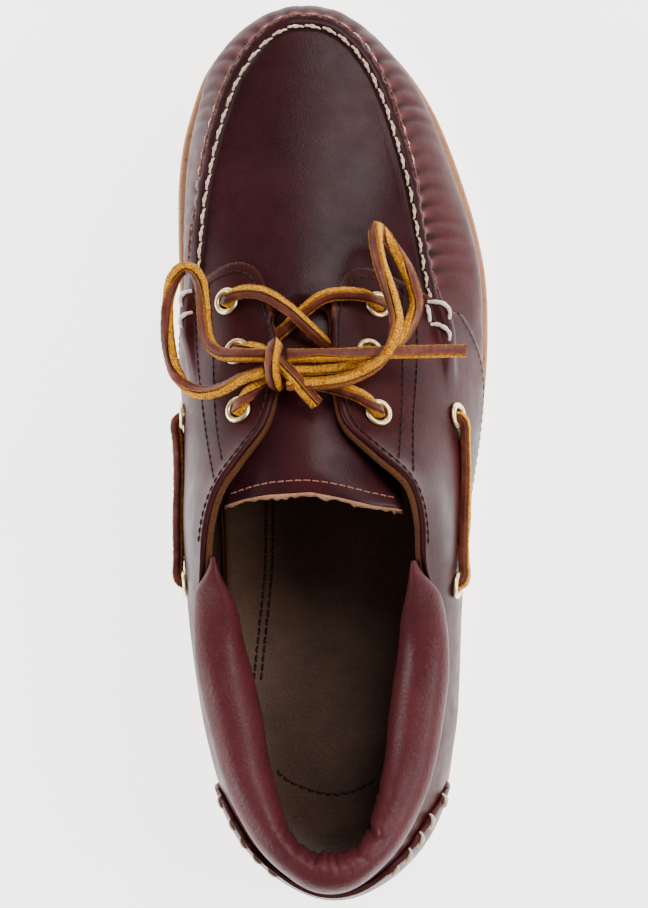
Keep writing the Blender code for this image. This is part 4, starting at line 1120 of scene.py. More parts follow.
def gum_sole():
    turn = np.unique(np.concatenate([even_turns(2.0, 2.2), turn_of([BREAST - 1.5, BREAST + 1.5])]))
    edge = sole_edge(turn)
    out = outward(edge)
    ribbed = 0.5 + 0.5 * np.cos(run_of(edge) * 2 * math.pi / SIDE_RIB)
    rings = []
    for share in (1.0, 0.8, 0.6, 0.4, 0.2):
        ring = to_spine(edge - out * SOLE_WALL[1][0], share)
        rings.append(np.column_stack([ring, sole_height("bottom", ring[:, 1])]))
    known = column(SOLE_WALL, "share"), column(SOLE_WALL, "inset")
    for share in np.unique(np.concatenate([np.linspace(0, 1, 25), known[0]])):
        rib = SIDE_RIB_DEPTH * (share > 0.58) * (share < 0.9)
        ring = edge - out * (np.interp(share, *known) + rib * ribbed[:, None])
        bottom, top = sole_height("bottom", ring[:, 1]), sole_top(ring[:, 1])
        rings.append(np.column_stack([ring, bottom + (top - bottom) * share]))
    for share in (0.1, 0.4, 1.0):
        rings.append(on_floor(to_spine(edge - out * SOLE_WALL[-1][0], share), 0))
    rings = np.array(rings)
    sole = piece_of("gum_sole", rings, loops(rings), [gum], welded=True)
    zigzag = [(x, ZIGZAG * (1 if n % 2 else -1)) for n, x in enumerate(range(-CUT_HALF, CUT_HALF + 1, 6))]
    for y in GROOVES_AT:
        near = [(x, y - GROOVE_HALF + dy) for x, dy in zigzag]
        far = [(x, y + GROOVE_HALF + dy) for x, dy in reversed(zigzag)]
        deep = float(sole_height("bottom", y)) + GROOVE_DEEP
        cut_with(sole, prism_of(near + far, 2, -3, deep, gum))
    return sole


sole = gum_sole()
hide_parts("outsole")
print("sole:", len(sole.data.polygons), "faces")

# %% [markdown]
# ## The upper
# One net of leather goes round the foot. Its outside carries the bead and the pleats, its top edge
# is cut, and its inside is lined. The marks make the walls redder than the apron, paint shade into
# the valleys of the pleats and the bead's groove, and paint highlights, with some wear, on what stands up.

# %% Upper
def upper_marks(rows, lift, valley, painted_light_low_down):
    """Marks for a net over the last: wear with painted highlights, tone, and painted shade."""
    tone = ease(0.6, -1.6, rows)
    bead_top = ease(-1.9, -0.6, rows) * ease(0.9, -0.2, rows) * (lift > 0.2)
    between_pleats = np.clip(0.5 - valley, 0, 0.5) * ease(-7, -2, rows) * (rows < 0) * (lift > 0.02)
    # Painted highlights on the bead's top and the ridges between pleats, partly wear, and painted light low
    # on the wall.
    rub_and_highlight = 0.75 * bead_top + painted_light_low_down + 0.5 * between_pleats
    groove = np.exp(-(((rows - 5.2) / 0.5) ** 2)) * (lift > 0.15)
    # Painted shade in the pleats' valleys and in the groove inside the bead.
    dark = 0.8 * valley * ease(-12, -2, rows) * (rows < 0.3) + 0.3 * groove
    return np.stack([np.clip(rub_and_highlight, 0, 1), tone, np.clip(dark, 0, 1)], axis=-1)


FACE, CUT, INSIDE = 0, 1, 2  # places of the finishes on a piece of leather


def whole_upper():
    inside = LAST[::-1][::2] - NORMAL[::-1][::2] * WALL
    inside[-1, :, 2] = np.maximum(inside[-1, :, 2], sole_top(inside[-1, :, 1]) + GAP)
    rings = np.concatenate([DRESSED, inside])
    valley, depth = pleats()
    valley = np.clip(valley * depth * 1.8, 0, 1)
    # The last argument paints light low down on the wall.
    marks = upper_marks(ROWS, RELIEF, valley, 0.12 * ease(-26, -34, ROWS))
    inner = np.broadcast_to(np.array([0.0, 0.4, 0.0]), (*inside.shape[:2], 3))
    kind = np.full(rings.shape[:2], INSIDE)
    kind[: len(DRESSED) - 1] = FACE
    kind[len(DRESSED) - 1] = CUT
    finishes = [oxblood, raw_edge, lining]
    faces = loops(rings, back=True)
    return piece_of("hand_sewn_upper", rings, faces, finishes, kind.ravel(), np.concatenate([marks, inner]))


upper = whole_upper()
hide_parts("upper")
print("upper:", len(upper.data.polygons), "faces")

# %% [markdown]
# ## Quarters and heel counter
# The quarters are cut from the same leather, laid over the vamp and sewn down, and the counter is
# laid over them at the heel. A thick sheet that follows the last is made first, and the pattern's
# outline is then cut through it, so that the cut shows its own edge. The edge's corner is eased in
# by a third of a millimetre, as a hot iron would do it. Low down and at the back the edge is inked.

# %% Quarters and counter
def curve_through(points, step=2.0):
    """A smooth line through points in a plane, whose own points are about a step apart."""
    points = np.array(points, float)
    run = run_of(points)
    at = np.linspace(0, run[-1], max(2, int(run[-1] / step)))
    return np.column_stack([smooth(run, points[:, axis], at) for axis in range(points.shape[1])])


def sheet_over(name, ribs_kept, low, face=oxblood, edge=raw_edge):
    """An overlay's thickness of leather over some of the ribs, this far up, closed all round."""
    base, normal = LAST[:, ribs_kept], NORMAL[:, ribs_kept]
    bead = SMOOTH_BEAD[:, ribs_kept, None] * OVER_BEAD
    outer, inner = (base + normal * (bead + lift) for lift in (low + OVERLAY, low))
    for ring in (outer[0], inner[0]):
        ring[:, 2] = np.maximum(ring[:, 2], sole_top(ring[:, 1]) + GAP)
    rings = np.concatenate([outer, inner[::-1]])
    faces = loops(rings, closed=False, back=True) + side_walls(rings, len(outer) - 1)
    return piece_of(name, rings, faces, [face, edge])


def side_walls(rings, rows):
    """Faces down both open sides of a folded net, between its first rows and its last ones."""
    count, size = rings.shape[:2]
    return [
        (j * size + i, (j + 1) * size + i, (count - 2 - j) * size + i, (count - 1 - j) * size + i)
        for i in (0, size - 1) for j in range(rows)
    ]


EDGE_EASED = 0.32


def eased_edges(piece):
    """Draws the corner between the face of the leather and its cut edge inward."""
    mesh = piece.data
    shape = bmesh.new()
    shape.from_mesh(mesh)
    bmesh.ops.remove_doubles(shape, verts=shape.verts, dist=0.00002)
    moved = {}
    for vertex in shape.verts:
        if {face.material_index for face in vertex.link_faces} == {FACE, CUT}:
            flat, side = (
                np.sum([face.normal for face in vertex.link_faces if face.material_index == kind], axis=0)
                for kind in (FACE, CUT)
            )
            total = Vector(flat).normalized() + Vector(side).normalized()
            moved[vertex] = vertex.co - total * EDGE_EASED * MM * 0.5
    for vertex, place in moved.items():
        vertex.co = place
    bmesh.ops.recalc_face_normals(shape, faces=shape.faces)
    shape.to_mesh(mesh)
    shape.free()
    mesh.polygons.foreach_set("use_smooth", np.ones(len(mesh.polygons), bool))


def marked_leather(piece, tone, edge_rub_and_highlight=lambda p: 0.22, reach=1.0):
    """Marks for a cut piece: its tone, and wear with a painted highlight along its cut edge that reaches so
    far in.
    """
    mesh = piece.data
    points = np.array([vertex.co for vertex in mesh.vertices]) / MM
    cut_faces = [tuple(face.vertices) for face in mesh.polygons if face.material_index == CUT]
    tree = BVHTree.FromPolygons([vertex.co for vertex in mesh.vertices], cut_faces)
    far = np.array([tree.find_nearest(Vector(point * MM))[3] or 0 for point in points])
    near = ease(reach, 0.3 * reach, far / MM)
    put_marks(mesh, np.column_stack([edge_rub_and_highlight(points) * near, tone(points), np.zeros(len(points))]))

# %% Quarters
INKED_BELOW, INKED_BEHIND = 50, -100  # the throat's edge is left raw


def quarter_tone(points):
    """Redder towards the back and low down."""
    return ease(46, 32, points[:, 1]) * 0.3 + ease(72, 52, points[:, 2]) * 0.45 + 0.05


def quarter_rub_and_highlight(points):
    """Palest along the throat, where the foot goes in: wear with a painted edge highlight."""
    y, z = points[:, 1], points[:, 2]
    return 0.08 + (y < 50) * (0.17 * (z > 48) + 0.65 * (z > 62))


def quarter_of(side, sign, front):
    half, every = len(TURN) - 1, np.arange(LAST.shape[1])
    kept = every[: half + 1] if sign > 0 else np.append(every[half:], 0)
    piece = sheet_over("quarter_" + side + "_leather", kept, GAP, face=quarter_leather)
    middle = 0.5 + sign * GAP
    plan = curve_through(front[1:]).tolist()
    plan += [(sign * 60, -160), (middle, -160), (middle, -100), (front[1][0], -60)]
    cut_with(piece, prism_of(plan, 2, -10, 120, raw_edge), "INTERSECT")
    edge = [*curve_through(QUARTER_EDGE[1:], 4.0).tolist(), (-160, 120), (60, 120)]
    cut_with(piece, prism_of(edge, 0, -80, 80, raw_edge), "INTERSECT")
    eased_edges(piece)
    marked_leather(piece, quarter_tone, quarter_rub_and_highlight, 1.7)
    piece.data.materials.append(dark_edge)
    for face in piece.data.polygons:
        inked = face.center.z < INKED_BELOW * MM or face.center.y < INKED_BEHIND * MM
        if face.material_index == CUT and inked:
            face.material_index = 2
    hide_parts("quarter_" + side)
    return piece


quarter_lateral = quarter_of("lateral", 1, FRONT_LATERAL)
quarter_medial = quarter_of("medial", -1, FRONT_MEDIAL)

# %% Heel counter
COUNTER_FROM = -92  # the ribs behind this y carry the counter


def counter():
    half, every = len(TURN) - 1, np.arange(LAST.shape[1])
    back = ALONG < COUNTER_FROM
    kept = np.concatenate([every[back & (every > half)], every[back & (every <= half)]])
    piece = sheet_over("heel_counter_leather", kept, 2 * GAP + OVERLAY, edge=dark_edge)
    edge = [*curve_through(COUNTER_EDGE[1:], 3.0).tolist(), (-160, 10)]
    cut_with(piece, prism_of(edge, 0, -80, 80, dark_edge), "INTERSECT")
    eased_edges(piece)
    # The default edge mark paints a highlight, with some wear, along the counter's cut edge.
    marked_leather(piece, lambda points: np.full(len(points), 0.75))
    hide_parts("heel_counter")
    return piece


heel_counter = counter()
print("overlays:", [len(p.data.polygons) for p in (quarter_lateral, quarter_medial, heel_counter)])

# %% [markdown]
# ## The padded collar
# Soft leather is folded over foam all round the opening. It is swollen between its seams, and the
# leather has to be shorter inside the bend at the heel, so it crowds there in fine wrinkles that
# run down the roll. The section is swept round the top edge, and the wrinkles follow it.

# %% Collar
def closed_curve(points, count):
    """A smooth closed line through points, with so many steps from one to the next."""
    points = np.array(points, float)
    line = []
    for i in range(len(points)):
        a, b, c, d = (points[(i + k) % len(points)] for k in (-1, 0, 1, 2))
        for u in np.arange(count) / count:
            bend, twist = 2 * a - 5 * b + 4 * c - d, 3 * b - a - 3 * c + d
            line.append(0.5 * (2 * b + (c - a) * u + bend * u**2 + twist * u**3))
    return np.array(line)


def collar_line():
    """Lengths along the top edge from one end of the collar to the other, its places and ways out."""
    top = LAST[-1].copy()
    top[:, 2] += np.maximum(NORMAL[-1, :, 2], 0) * (GAP + OVERLAY)
    order = np.roll(np.arange(len(top)), len(top) // 2)
    kept = [i for i in order if top[i, 1] < COLLAR_FRONT]
    run = run_of(top[kept])
    at = np.linspace(0, run[-1], int(run[-1]))
    return at, sampled(run, top[kept], at), unit(sampled(run, outward(top[:, :2])[kept], at))


def collar_section(y):
    """The closed section at one place, as steps outward and up, and how far it reaches in."""
    inward, rise, drop = (float(looked_up(COLLAR, key, y)) for key in ("inward", "rise", "drop"))
    points = [(out - inward * a, 2 * GAP + rise * b - drop * c) for out, a, b, c in COLLAR_SECTION[1:]]
    return closed_curve(points, 4), inward

# %% Wrinkles and the whole roll
FOLDS = 64
ROUND = np.linspace(0, 1, 4 * (len(COLLAR_SECTION) - 1), endpoint=False)  # the share of the way round


def collar_folds():
    """Where each wrinkle is, as a share of the collar's length, its width, depth and lean."""
    chance = np.random.default_rng(3)
    each = (("normal", 0.5, 0.13), ("uniform", 0.5, 1.1), ("uniform", 0.12, 0.42), ("uniform", -0.6, 0.6))
    return [[getattr(chance, kind)(first, second) for kind, first, second in each] for _ in range(FOLDS)]


def padded_collar():
    at, place, away = collar_line()
    folds = collar_folds()
    shown = ease(0.22, 0.36, ROUND) * ease(0.72, 0.55, ROUND)
    rings, pushes, moves = [], [], []
    for run, p, o in zip(at, place, away):
        section, inward = collar_section(p[1])
        heel = float(ease(-96, -122, p[1]))
        wrinkle = 0.0
        for where, width, deep, lean in folds:
            gap = run - where * at[-1] - lean * 9 * (ROUND - 0.4)
            wrinkle = wrinkle - deep * np.exp(-((gap / width) ** 2)) * heel
        swell = (0.22 * math.sin(run / 7.5 + 1) + 0.1 * math.sin(run / 3.1)) * ease(0.1, 0.25, ROUND)
        moves.append(wrinkle * 1.3 * shown + swell * 0.6 * (1 - ease(0.55, 0.75, ROUND)))
        pushes.append([(*(o * u), v) for u, v in outward(section)])
        wide = 0.16 + 0.84 * float(ease(COLLAR_FRONT, -44, p[1]))
        tall = 0.35 + 0.65 * float(ease(COLLAR_FRONT, -40, p[1]))
        centre = np.array([-inward * 0.45 - 0.4, -0.8])
        section = centre + (section - centre) * (wide, tall)  # both ends of the collar taper off
        rings.append([(*(p[:2] + o * u), p[2] + v) for u, v in section])
    rings = np.array(rings)
    loose = 0.5 * ease(-84, -118, place[:, 1])[:, None] * ease(0.18, 0.34, ROUND) * ease(0.97, 0.78, ROUND)
    for _ in range(40):  # the inside of the bend is a round U, not the point that the ribs come to
        rings[1:-1] += loose[1:-1, :, None] * ((rings[:-2] + rings[2:]) / 2 - rings[1:-1])
    rings += np.array(pushes) * np.array(moves)[:, :, None]
    marks = np.zeros(rings.shape)
    marks[:, :, 1] = 0.5
    # Painted shade: darker down the inner side of the roll and in the creases along its seams.
    seams = ease(0.05, 0.0, ROUND) + ease(0.88, 0.93, ROUND)
    marks[:, :, 2] = 0.3 * ease(0.4, 0.62, ROUND) + 0.6 * seams
    return piece_of("padded_collar", rings, loops(rings) + both_ends(rings), [burgundy], marks=marks)


collar = padded_collar()
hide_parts("collar")
print("collar:", len(collar.data.polygons), "faces")

# %% [markdown]
# ## The tongue
# The tongue is a long flap of unlined leather under the lace. It lies against the inside of the
# upper, arches where the throat is open, and its free end shows the raw edge. Its back edge is a
# shallow double curve.

# %% Tongue
TONGUE_FROM, TONGUE_LONG = -14.0, 71.0


def tongue_heights():
    """The tongue's upper face as rows of points, back to front."""
    inside = tree_over(LAST)
    under = WALL + GAP + 0.7
    rows = []
    for v in np.linspace(0, 1, 56):
        y_mid = TONGUE_FROM + TONGUE_LONG * v
        left, right = (float(looked_up(TONGUE, key, max(y_mid, TONGUE[1][0]))) for key in ("left", "right"))
        known, heights = [], []
        for x in np.arange(left - 8, right + 8, 1.0):
            place, normal = met(inside, (x, y_mid, ABOVE), DOWN)
            if place is not None and place.z > 60:
                known.append(x)
                heights.append(place.z - under / max(normal.z, 0.3))
        xs = np.linspace(left, right, 41)
        z = np.interp(xs, known, heights)
        gap = int(np.argmax(np.diff(known)))
        if known[gap + 1] - known[gap] > 2:  # the throat is open here, so the tongue arches in it
            start, end = known[gap] + 2, known[gap + 1] - 2
            crest = float(straight(TONGUE_CREST, y_mid))
            share = np.clip((xs - start) / (end - start), 0, 1)
            z = z + (crest - np.mean(heights[gap : gap + 2])) * 4 * share * (1 - share) * (y_mid < 45)
        back = straight(TONGUE_BACK, xs) - TONGUE_FROM
        rows.append(np.column_stack([xs, y_mid + back * (1 - v) ** 3, z]))
    return np.array(rows)


TONGUE_TOP = tongue_heights()
for _ in range(3):  # a few passes of smoothing along the tongue, as leather would bridge small dips
    TONGUE_TOP[1:-1, :, 2] = (TONGUE_TOP[:-2, :, 2] + 2 * TONGUE_TOP[1:-1, :, 2] + TONGUE_TOP[2:, :, 2]) / 4


def leather_tongue():
    top, bottom = TONGUE_TOP, TONGUE_TOP - (0, 0, TONGUE_THICK)
    fuzz = np.random.default_rng(11).normal(0, 0.22, (top.shape[1], 2))
    level = np.ones(len(fuzz))
    edge_top = top[0] + np.column_stack([fuzz[:, 0], -0.5 + fuzz[:, 1], -0.3 * level])
    edge_low = bottom[0] + np.column_stack([fuzz[:, 1], -1.3 + 1.6 * fuzz[:, 0], 0.4 * level])
    rings = np.array([*top[::-1], edge_top, edge_low, *bottom])
    count, size = rings.shape[:2]
    half = len(top)
    kind = np.full((count, size - 1), INSIDE)
    kind[:half] = FACE
    kind[half - 1 : half + 2] = CUT
    walls = side_walls(rings, half)
    marks = np.zeros(rings.shape)
    marks[:half, :, 0] = 0.06 * ease(12, 2, np.abs(rings[:half, :, 0] + 8))
    faces = loops(rings, closed=False, back=True) + walls
    kinds = [*kind.ravel(), *[CUT] * len(walls)]
    return piece_of("leather_tongue", rings, faces, [oxblood, tongue_edge, lining], kinds, marks)


tongue = leather_tongue()
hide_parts("tongue")
print("tongue:", len(tongue.data.polygons), "faces")

# %% [markdown]
# ## The insole
# A sock of dark brown leather lines the bottom. Feet have polished it and pressed it in, so it is
# a closed pad with a cupped heel, an edge that stands up a little and soft waves.

# %% Insole
INSOLE_IN = 0.6  # from the inside of the wall
PAD_SHARES = (0.0, 0.03, 0.07, 0.12, 0.18, 0.25, 0.33, 0.42, 0.52, 0.62, 0.72, 0.82, 0.9, 0.96, 1.0)


def leather_insole():
    feather = LAST[0, :, :2]
    edge = (feather - outward(feather) * (WALL + INSOLE_IN))[::2]
    rings = [on_floor(to_spine(edge, share), GAP) for share in (1.0, 0.5, 0.0)]
    for share in PAD_SHARES:
        ring = on_floor(to_spine(edge, share), GAP + INSOLE_THICK)
        x, y = ring[:, 0], ring[:, 1]
        cup = 1.6 * (1 - ease(0.0, 0.42, share)) * ease(-30, -80, y)
        ring[:, 2] += cup + 0.5 * (1 - ease(0, 0.3, share)) + 0.12 * np.sin(y / 9 + x / 13)
        ring[:, 2] -= 0.0 if share else 0.7  # the rim is rounded off
        rings.append(ring)
    rings = np.array(rings)
    marks = np.zeros(rings.shape)
    # Painted light: the front is lighter to offset the shade under the tongue.
    marks[:, :, 1] = ease(-110, -20, rings[:, :, 1])
    pad = piece_of("leather_insole", rings, loops(rings), [insole_leather], marks=marks, welded=True)
    return pad, rings


insole, INSOLE_RINGS = leather_insole()
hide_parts("insole")
print("insole:", len(insole.data.polygons), "faces")


# %% [markdown]
# ## Eyelets
# An eyelet is a short brass tube whose lips are rolled over on a press. One is turned here: a
# circle is extruded and widened ring by ring into the lip, and subdivided. Its copies are set into
# the leather square to its surface, each with its own mesh. A disc of painted shade inside stands for the
# hole.

# %% One eyelet, then ten
BORE = 2.45
LIP = ((2.45, 2.6), (2.62, 0.55), (3.1, 0.4), (3.7, 0.0), (4.15, -0.3), (4.4, -0.5), (4.3, -0.3))


def turned_ring():
    """The tube's lower end is drawn first, then each ring of LIP: its radius and how far it rises."""
    bpy.ops.mesh.primitive_circle_add(vertices=28, radius=BORE * MM, location=(0, 0, -2.2 * MM))
    ring = bpy.context.object
    bpy.ops.object.mode_set(mode="EDIT")
    bpy.ops.mesh.select_all(action="SELECT")
    before = BORE
    for radius, rise in LIP:
        bpy.ops.mesh.extrude_region_move(TRANSFORM_OT_translate={"value": (0, 0, rise * MM)})
        bpy.ops.transform.resize(value=(radius / before, radius / before, 1))
        before = radius
    bpy.ops.object.mode_set(mode="OBJECT")
    wall = ring.modifiers.new("wall", "SOLIDIFY")
    wall.thickness = 0.25 * MM
    bpy.ops.object.modifier_apply(modifier=wall.name)
    soft = ring.modifiers.new("soft", "SUBSURF")
    soft.levels = soft.render_levels = 1
    bpy.ops.object.modifier_apply(modifier=soft.name)
    bpy.ops.mesh.primitive_circle_add(
        vertices=24, radius=(BORE + 0.15) * MM, fill_type="NGON", location=(0, 0, 0.12 * MM)
    )
    hole = bpy.context.object
    ring.data.materials.append(brass)
    hole.data.materials.append(hole_dark)
    ring.select_set(True)
    bpy.context.view_layer.objects.active = ring
    bpy.ops.object.join()
    bpy.ops.object.transform_apply(location=True, rotation=True, scale=True)
    bpy.ops.object.shade_smooth()
    bpy.ops.object.select_all(action="DESELECT")
    return ring


def eyelet_places():
    places = {name: met(ON_COVER, (x, y, ABOVE), DOWN) for name, x, y in LACE_EYELETS[1:]}
    for side, sign in SIDES:
        for end, y, z in SIDE_EYELETS[1:]:
            start = (ASIDE * sign, y, z + SIDE_LIFT[side])
            places[f"eyelet_{side}_{end}"] = met(ON_COVER, start, (-sign, 0, 0))
    return places


PLACES = eyelet_places()
pattern = turned_ring()
for name, (place, normal) in PLACES.items():
    made = pattern.copy()
    made.data = pattern.data.copy()
    made.name = name + "_brass"
    bpy.context.scene.collection.objects.link(made)
    stand = normal.to_track_quat("Z", "Y").to_matrix().to_4x4()
    made.data.transform(Matrix.Translation((place + normal * 0.1) * MM) @ stand)
    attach(made, "root")
    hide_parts(name)
bpy.data.objects.remove(pattern, do_unlink=True)
print("eyelets:", len(PLACES))

# %% [markdown]
# ## A square thong of rawhide
# The lace was cut from a hide as a square strip, so one side is smooth grain, its neighbours are
# cut, and the fourth is the hairy flesh side. Its section is a rounded square that is swept along
# a smooth route and rolled as it goes, and the marks say which side each point is on.

# %% The thong
HALF = 1.68  # half its thickness
CORNER_FROM = 0.9
GRAIN_SIDE, CUT_SIDE, FLESH_SIDE = np.eye(3)


def thong_section():
    """Sixteen points round a rounded square, with the share of grain, cut and flesh at each."""
    kinds_round = (GRAIN_SIDE, CUT_SIDE, FLESH_SIDE, CUT_SIDE)
    points, kinds = [], []
    for side in range(4):
        angle = side * math.pi / 2
        for u, v in ((-0.62, 1.0), (0.0, 1.04), (0.62, 1.0), (0.93, 0.93)):
            x, z = u * HALF, v * HALF
            across = x * math.cos(angle) - z * math.sin(angle)
            points.append((across, x * math.sin(angle) + z * math.cos(angle)))
            here, after = kinds_round[side], kinds_round[side - 1]
            kinds.append((here + after) / 2 if u > CORNER_FROM else here)
    return np.array(points), np.array(kinds)


SECTION, KINDS = thong_section()
RING_EVERY = 0.8
UPWARD, TOEWARD = np.array([0.0, 0.0, 1.0]), np.array([0.0, 1.0, 0.0])
STEEP = 0.35  # a run with a smaller level share than this keeps its turn
STEADY = 0.75  # share of a ring's turn that the next ring keeps
SWAY = 5  # degrees that the hide rolls by itself
SWELL, SHRINK, NICK = 0.045, 0.04, 0.025  # uneven width and height, and rough cuts

# %% A line for the thong to follow
def eased_line(route):
    """A smooth line through the rows of a route, with the roll eased the same way, and its length."""
    route = np.array(route, float)
    pad = np.vstack([2 * route[0] - route[1], route, 2 * route[-1] - route[-2]])
    fine = []
    for four in zip(pad, pad[1:], pad[2:], pad[3:]):
        apart = [max(np.linalg.norm(q[:3] - p[:3]), 1e-6) ** 0.5 for p, q in zip(four, four[1:])]
        fine += between(four, apart, np.linspace(0, 1, 24, endpoint=False))
    fine = np.array([*fine, route[-1]])
    run = run_of(fine[:, :3])
    at = np.linspace(0, run[-1], max(6, round(run[-1] / RING_EVERY)))
    return sampled(run, fine, at), float(run[-1])

# %% Sweeping the thong
def thong(name, route, seed, scale=1.0):
    """A stretch of lace along a route. Returns the piece, its middle line in metres and its length."""
    line, length = eased_line(route)
    chance = np.random.default_rng(seed)
    count = len(line)
    bends = max(4, count // 9)
    slow = np.interp(np.arange(count), np.linspace(0, count, bends), chance.normal(0, 1, bends))
    rings, up = [], None
    for row, run, uneven in zip(line, unit(np.gradient(line[:, :3], axis=0)), slow):
        if up is None:
            up = UPWARD if abs(run[2]) < 0.9 else TOEWARD
        plain = UPWARD - run * run[2]
        goal = unit(plain) if np.linalg.norm(plain) > STEEP else up
        up = unit(unit(up - run * (up @ run)) * STEADY + goal * (1 - STEADY))
        side = np.cross(run, up)
        roll = math.radians(row[3] + SWAY * uneven)
        z_axis = up * math.cos(roll) + side * math.sin(roll)
        x_axis = side * math.cos(roll) - up * math.sin(roll)
        nicks = chance.normal(0, NICK, len(SECTION))
        wide = SECTION[:, 0] * (scale * (1 + SWELL * uneven) + nicks)
        tall = SECTION[:, 1] * (scale * (1 - SHRINK * uneven) + nicks)
        rings.append(row[:3] + np.outer(wide, x_axis) + np.outer(tall, z_axis))
    made = piece_of(name, rings, loops(rings) + both_ends(rings), [rawhide], marks=[KINDS] * count)
    return made, line[:, :3] * MM, length * MM

# %% Crossings, and runs up to the knot
crossing_over = thong("lace_over", CROSSING_OVER, 1)
crossing_under = thong("lace_under", CROSSING_UNDER, 2)
runs = [thong(name, route, 3 + n) for n, (name, route) in enumerate(RUNS)]
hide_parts("lace_crossing")
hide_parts("lace_bars")
print("crossings:", round(crossing_over[2] / MM), "and", round(crossing_under[2] / MM), "mm")

# %% [markdown]
# ## The bow
# Two loops and two ends leave the knot. Each is a free stretch with its own length: the inner loop
# is short and hangs over the edge, and the outer one arches forward and back as a hairpin. The knot
# is one turn of the thong that wraps over them.

# %% Loops, ends and knot
loop_medial = thong("bow_loop_medial", LOOP_MEDIAL, 11)
loop_lateral = thong("bow_loop_lateral", LOOP_LATERAL, 12)
end_long = thong("bow_end_long", END_LONG, 13)
end_short = thong("bow_end_short", END_SHORT, 14)
knot_wrap = thong("bow_knot_wrap", KNOT_WRAP, 15)
for (piece, line, length), node, end in (
    (loop_medial, "lace_loop_medial", "object"),
    (loop_lateral, "lace_loop_lateral", "object"),
    (end_long, "lace_end_long", "bare"),
):
    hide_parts(node)
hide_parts("lace_end_short")
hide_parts("lace_knot")
print("loops and long end:", [round(made[2] / MM) for made in (loop_medial, loop_lateral, end_long)], "mm")

# %% [markdown]
# ## Laces along the sides
# The same thong runs inside the collar and shows on each side between two eyelets, where it lies
# on the quarter with its brown grain up and a cut side outward.

# %% Side laces
SAG = 2.2
LIFTS = ((0.0, -1.4), (0.004, 0.6), (0.02, 1.9), (0.06, 2.3), (0.12, 1.9), (0.22, 1.6), (0.36, 1.5))


def side_route(side, sign):
    """Out of one eyelet and into the other. LIFTS says how far off the leather the thong's middle is."""
    (_, y0, z0), (_, y1, z1) = SIDE_EYELETS[1:]
    z0, z1 = z0 + SIDE_LIFT[side], z1 + SIDE_LIFT[side]
    route = []
    for share, out in LIFTS + tuple((1 - share, out) for share, out in reversed(LIFTS)):
        z = z0 + (z1 - z0) * share - SAG * math.sin(math.pi * share)
        place, normal = met(ON_COVER, (ASIDE * sign, y0 + (y1 - y0) * share, z), (-sign, 0, 0))
        route.append((*(place + normal * out), 16))
    return route


for side, sign in SIDES:
    piece, line, length = thong("side_lace_" + side, side_route(side, sign), 21 + sign, scale=0.93)
    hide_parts("lace_side_" + side)
    print("side lace:", round(length / MM), "mm")


# %% [markdown]
# ## A stitch
# Sewing thread is two plies twisted together. A stitch dives into its hole at both ends and lies
# proud of the leather between them. One is modelled: a small circle is extruded along its length,
# and turned a little at every step, and a second ply is added opposite. Every row repeats it.

# %% One stitch of two plies
PLY, PLY_OFF = 0.31, 0.24  # a ply's radius and how far off the middle it lies, for a stitch 1 long
STEPS, TWIST = 9, math.radians(48)
TIP = 0.6  # how thin it is at both ends


def spun_stitch():
    plies = []
    for angle in (0, math.pi):
        bpy.ops.mesh.primitive_circle_add(
            vertices=6, radius=PLY, fill_type="NGON", rotation=(math.pi / 2, 0, 0),
            location=(PLY_OFF * math.cos(angle), 0, PLY_OFF * math.sin(angle)),
        )
        plies.append(bpy.context.object)
        bpy.ops.object.transform_apply(location=True, rotation=True, scale=True)
        bpy.ops.object.mode_set(mode="EDIT")
        bpy.ops.mesh.select_all(action="SELECT")
        bpy.ops.transform.resize(value=(TIP, 1, TIP))
        for step in range(STEPS):
            y = (step + 1) / STEPS
            bpy.ops.mesh.extrude_region_move(TRANSFORM_OT_translate={"value": (0, 1 / STEPS, 0)})
            bpy.ops.transform.rotate(value=TWIST, orient_axis="Y", center_override=(0, y, 0))
            if step in (0, STEPS - 1):
                size = 1 / TIP if step == 0 else TIP
                bpy.ops.transform.resize(value=(size, 1, size))
        bpy.ops.mesh.select_all(action="SELECT")
        bpy.ops.mesh.normals_make_consistent(inside=False)
        bpy.ops.object.mode_set(mode="OBJECT")
    plies[0].select_set(True)
    bpy.context.view_layer.objects.active = plies[0]
    bpy.ops.object.join()
    points = np.array([vertex.co for vertex in plies[0].data.vertices])
    faces = [tuple(face.vertices) for face in plies[0].data.polygons]
    bpy.data.objects.remove(plies[0], do_unlink=True)
    return points, faces


TWISTED = spun_stitch()
FULL = TWISTED[0].copy(), TWISTED[1]  # a thick stitch, drawn thin where it dives
FULL[0][:, ::2] *= (0.4 + 0.72 * np.sin(math.pi * np.clip(FULL[0][:, 1], 0, 1)) ** 0.8)[:, None]
print("stitch:", len(TWISTED[1]), "faces")

# %% [markdown]
# ## Rows of stitches
# A row is a line on the leather, divided into steps. Each step gets a stitch and, where its thread
# goes in, a small disc of painted shade for its hole. Hand sewing wanders, so every stitch is moved and
# turned a little.

# %% Rows
def evenly(line, pitch):
    """Points a pitch apart on a line of places and normals."""
    line = np.array(line, float)
    run = run_of(line[:, :3])
    return sampled(run, line, np.linspace(0, run[-1], max(2, int(round(run[-1] / pitch)) + 1)))


def draped(plan, tree, start=(None, None, ABOVE), direction=DOWN, step=1.0):
    """A line on the leather under a line drawn on one plane, as places and normals."""
    free = [axis for axis in range(3) if start[axis] is None]
    line = []
    for a, b in curve_through(plan, step):
        point = list(start)
        point[free[0]], point[free[1]] = a, b
        place, normal = met(tree, point, direction)
        if place is not None:
            line.append((*place, *normal))
    return line

# %% Sewing a row
HOLE_POINTS = 7
HOLE_ROUND = np.arange(HOLE_POINTS) * 2 * math.pi / HOLE_POINTS
HOLE_LONG, HOLE_WIDE = 0.62, 0.5  # half of a hole's size, in widths of the thread
ARCH, FULLNESS, ENDS_UNDER = 0.62, 0.55, 0.55  # a stitch's rise, how full it is, how deep it ends
SHORTEST = 0.3


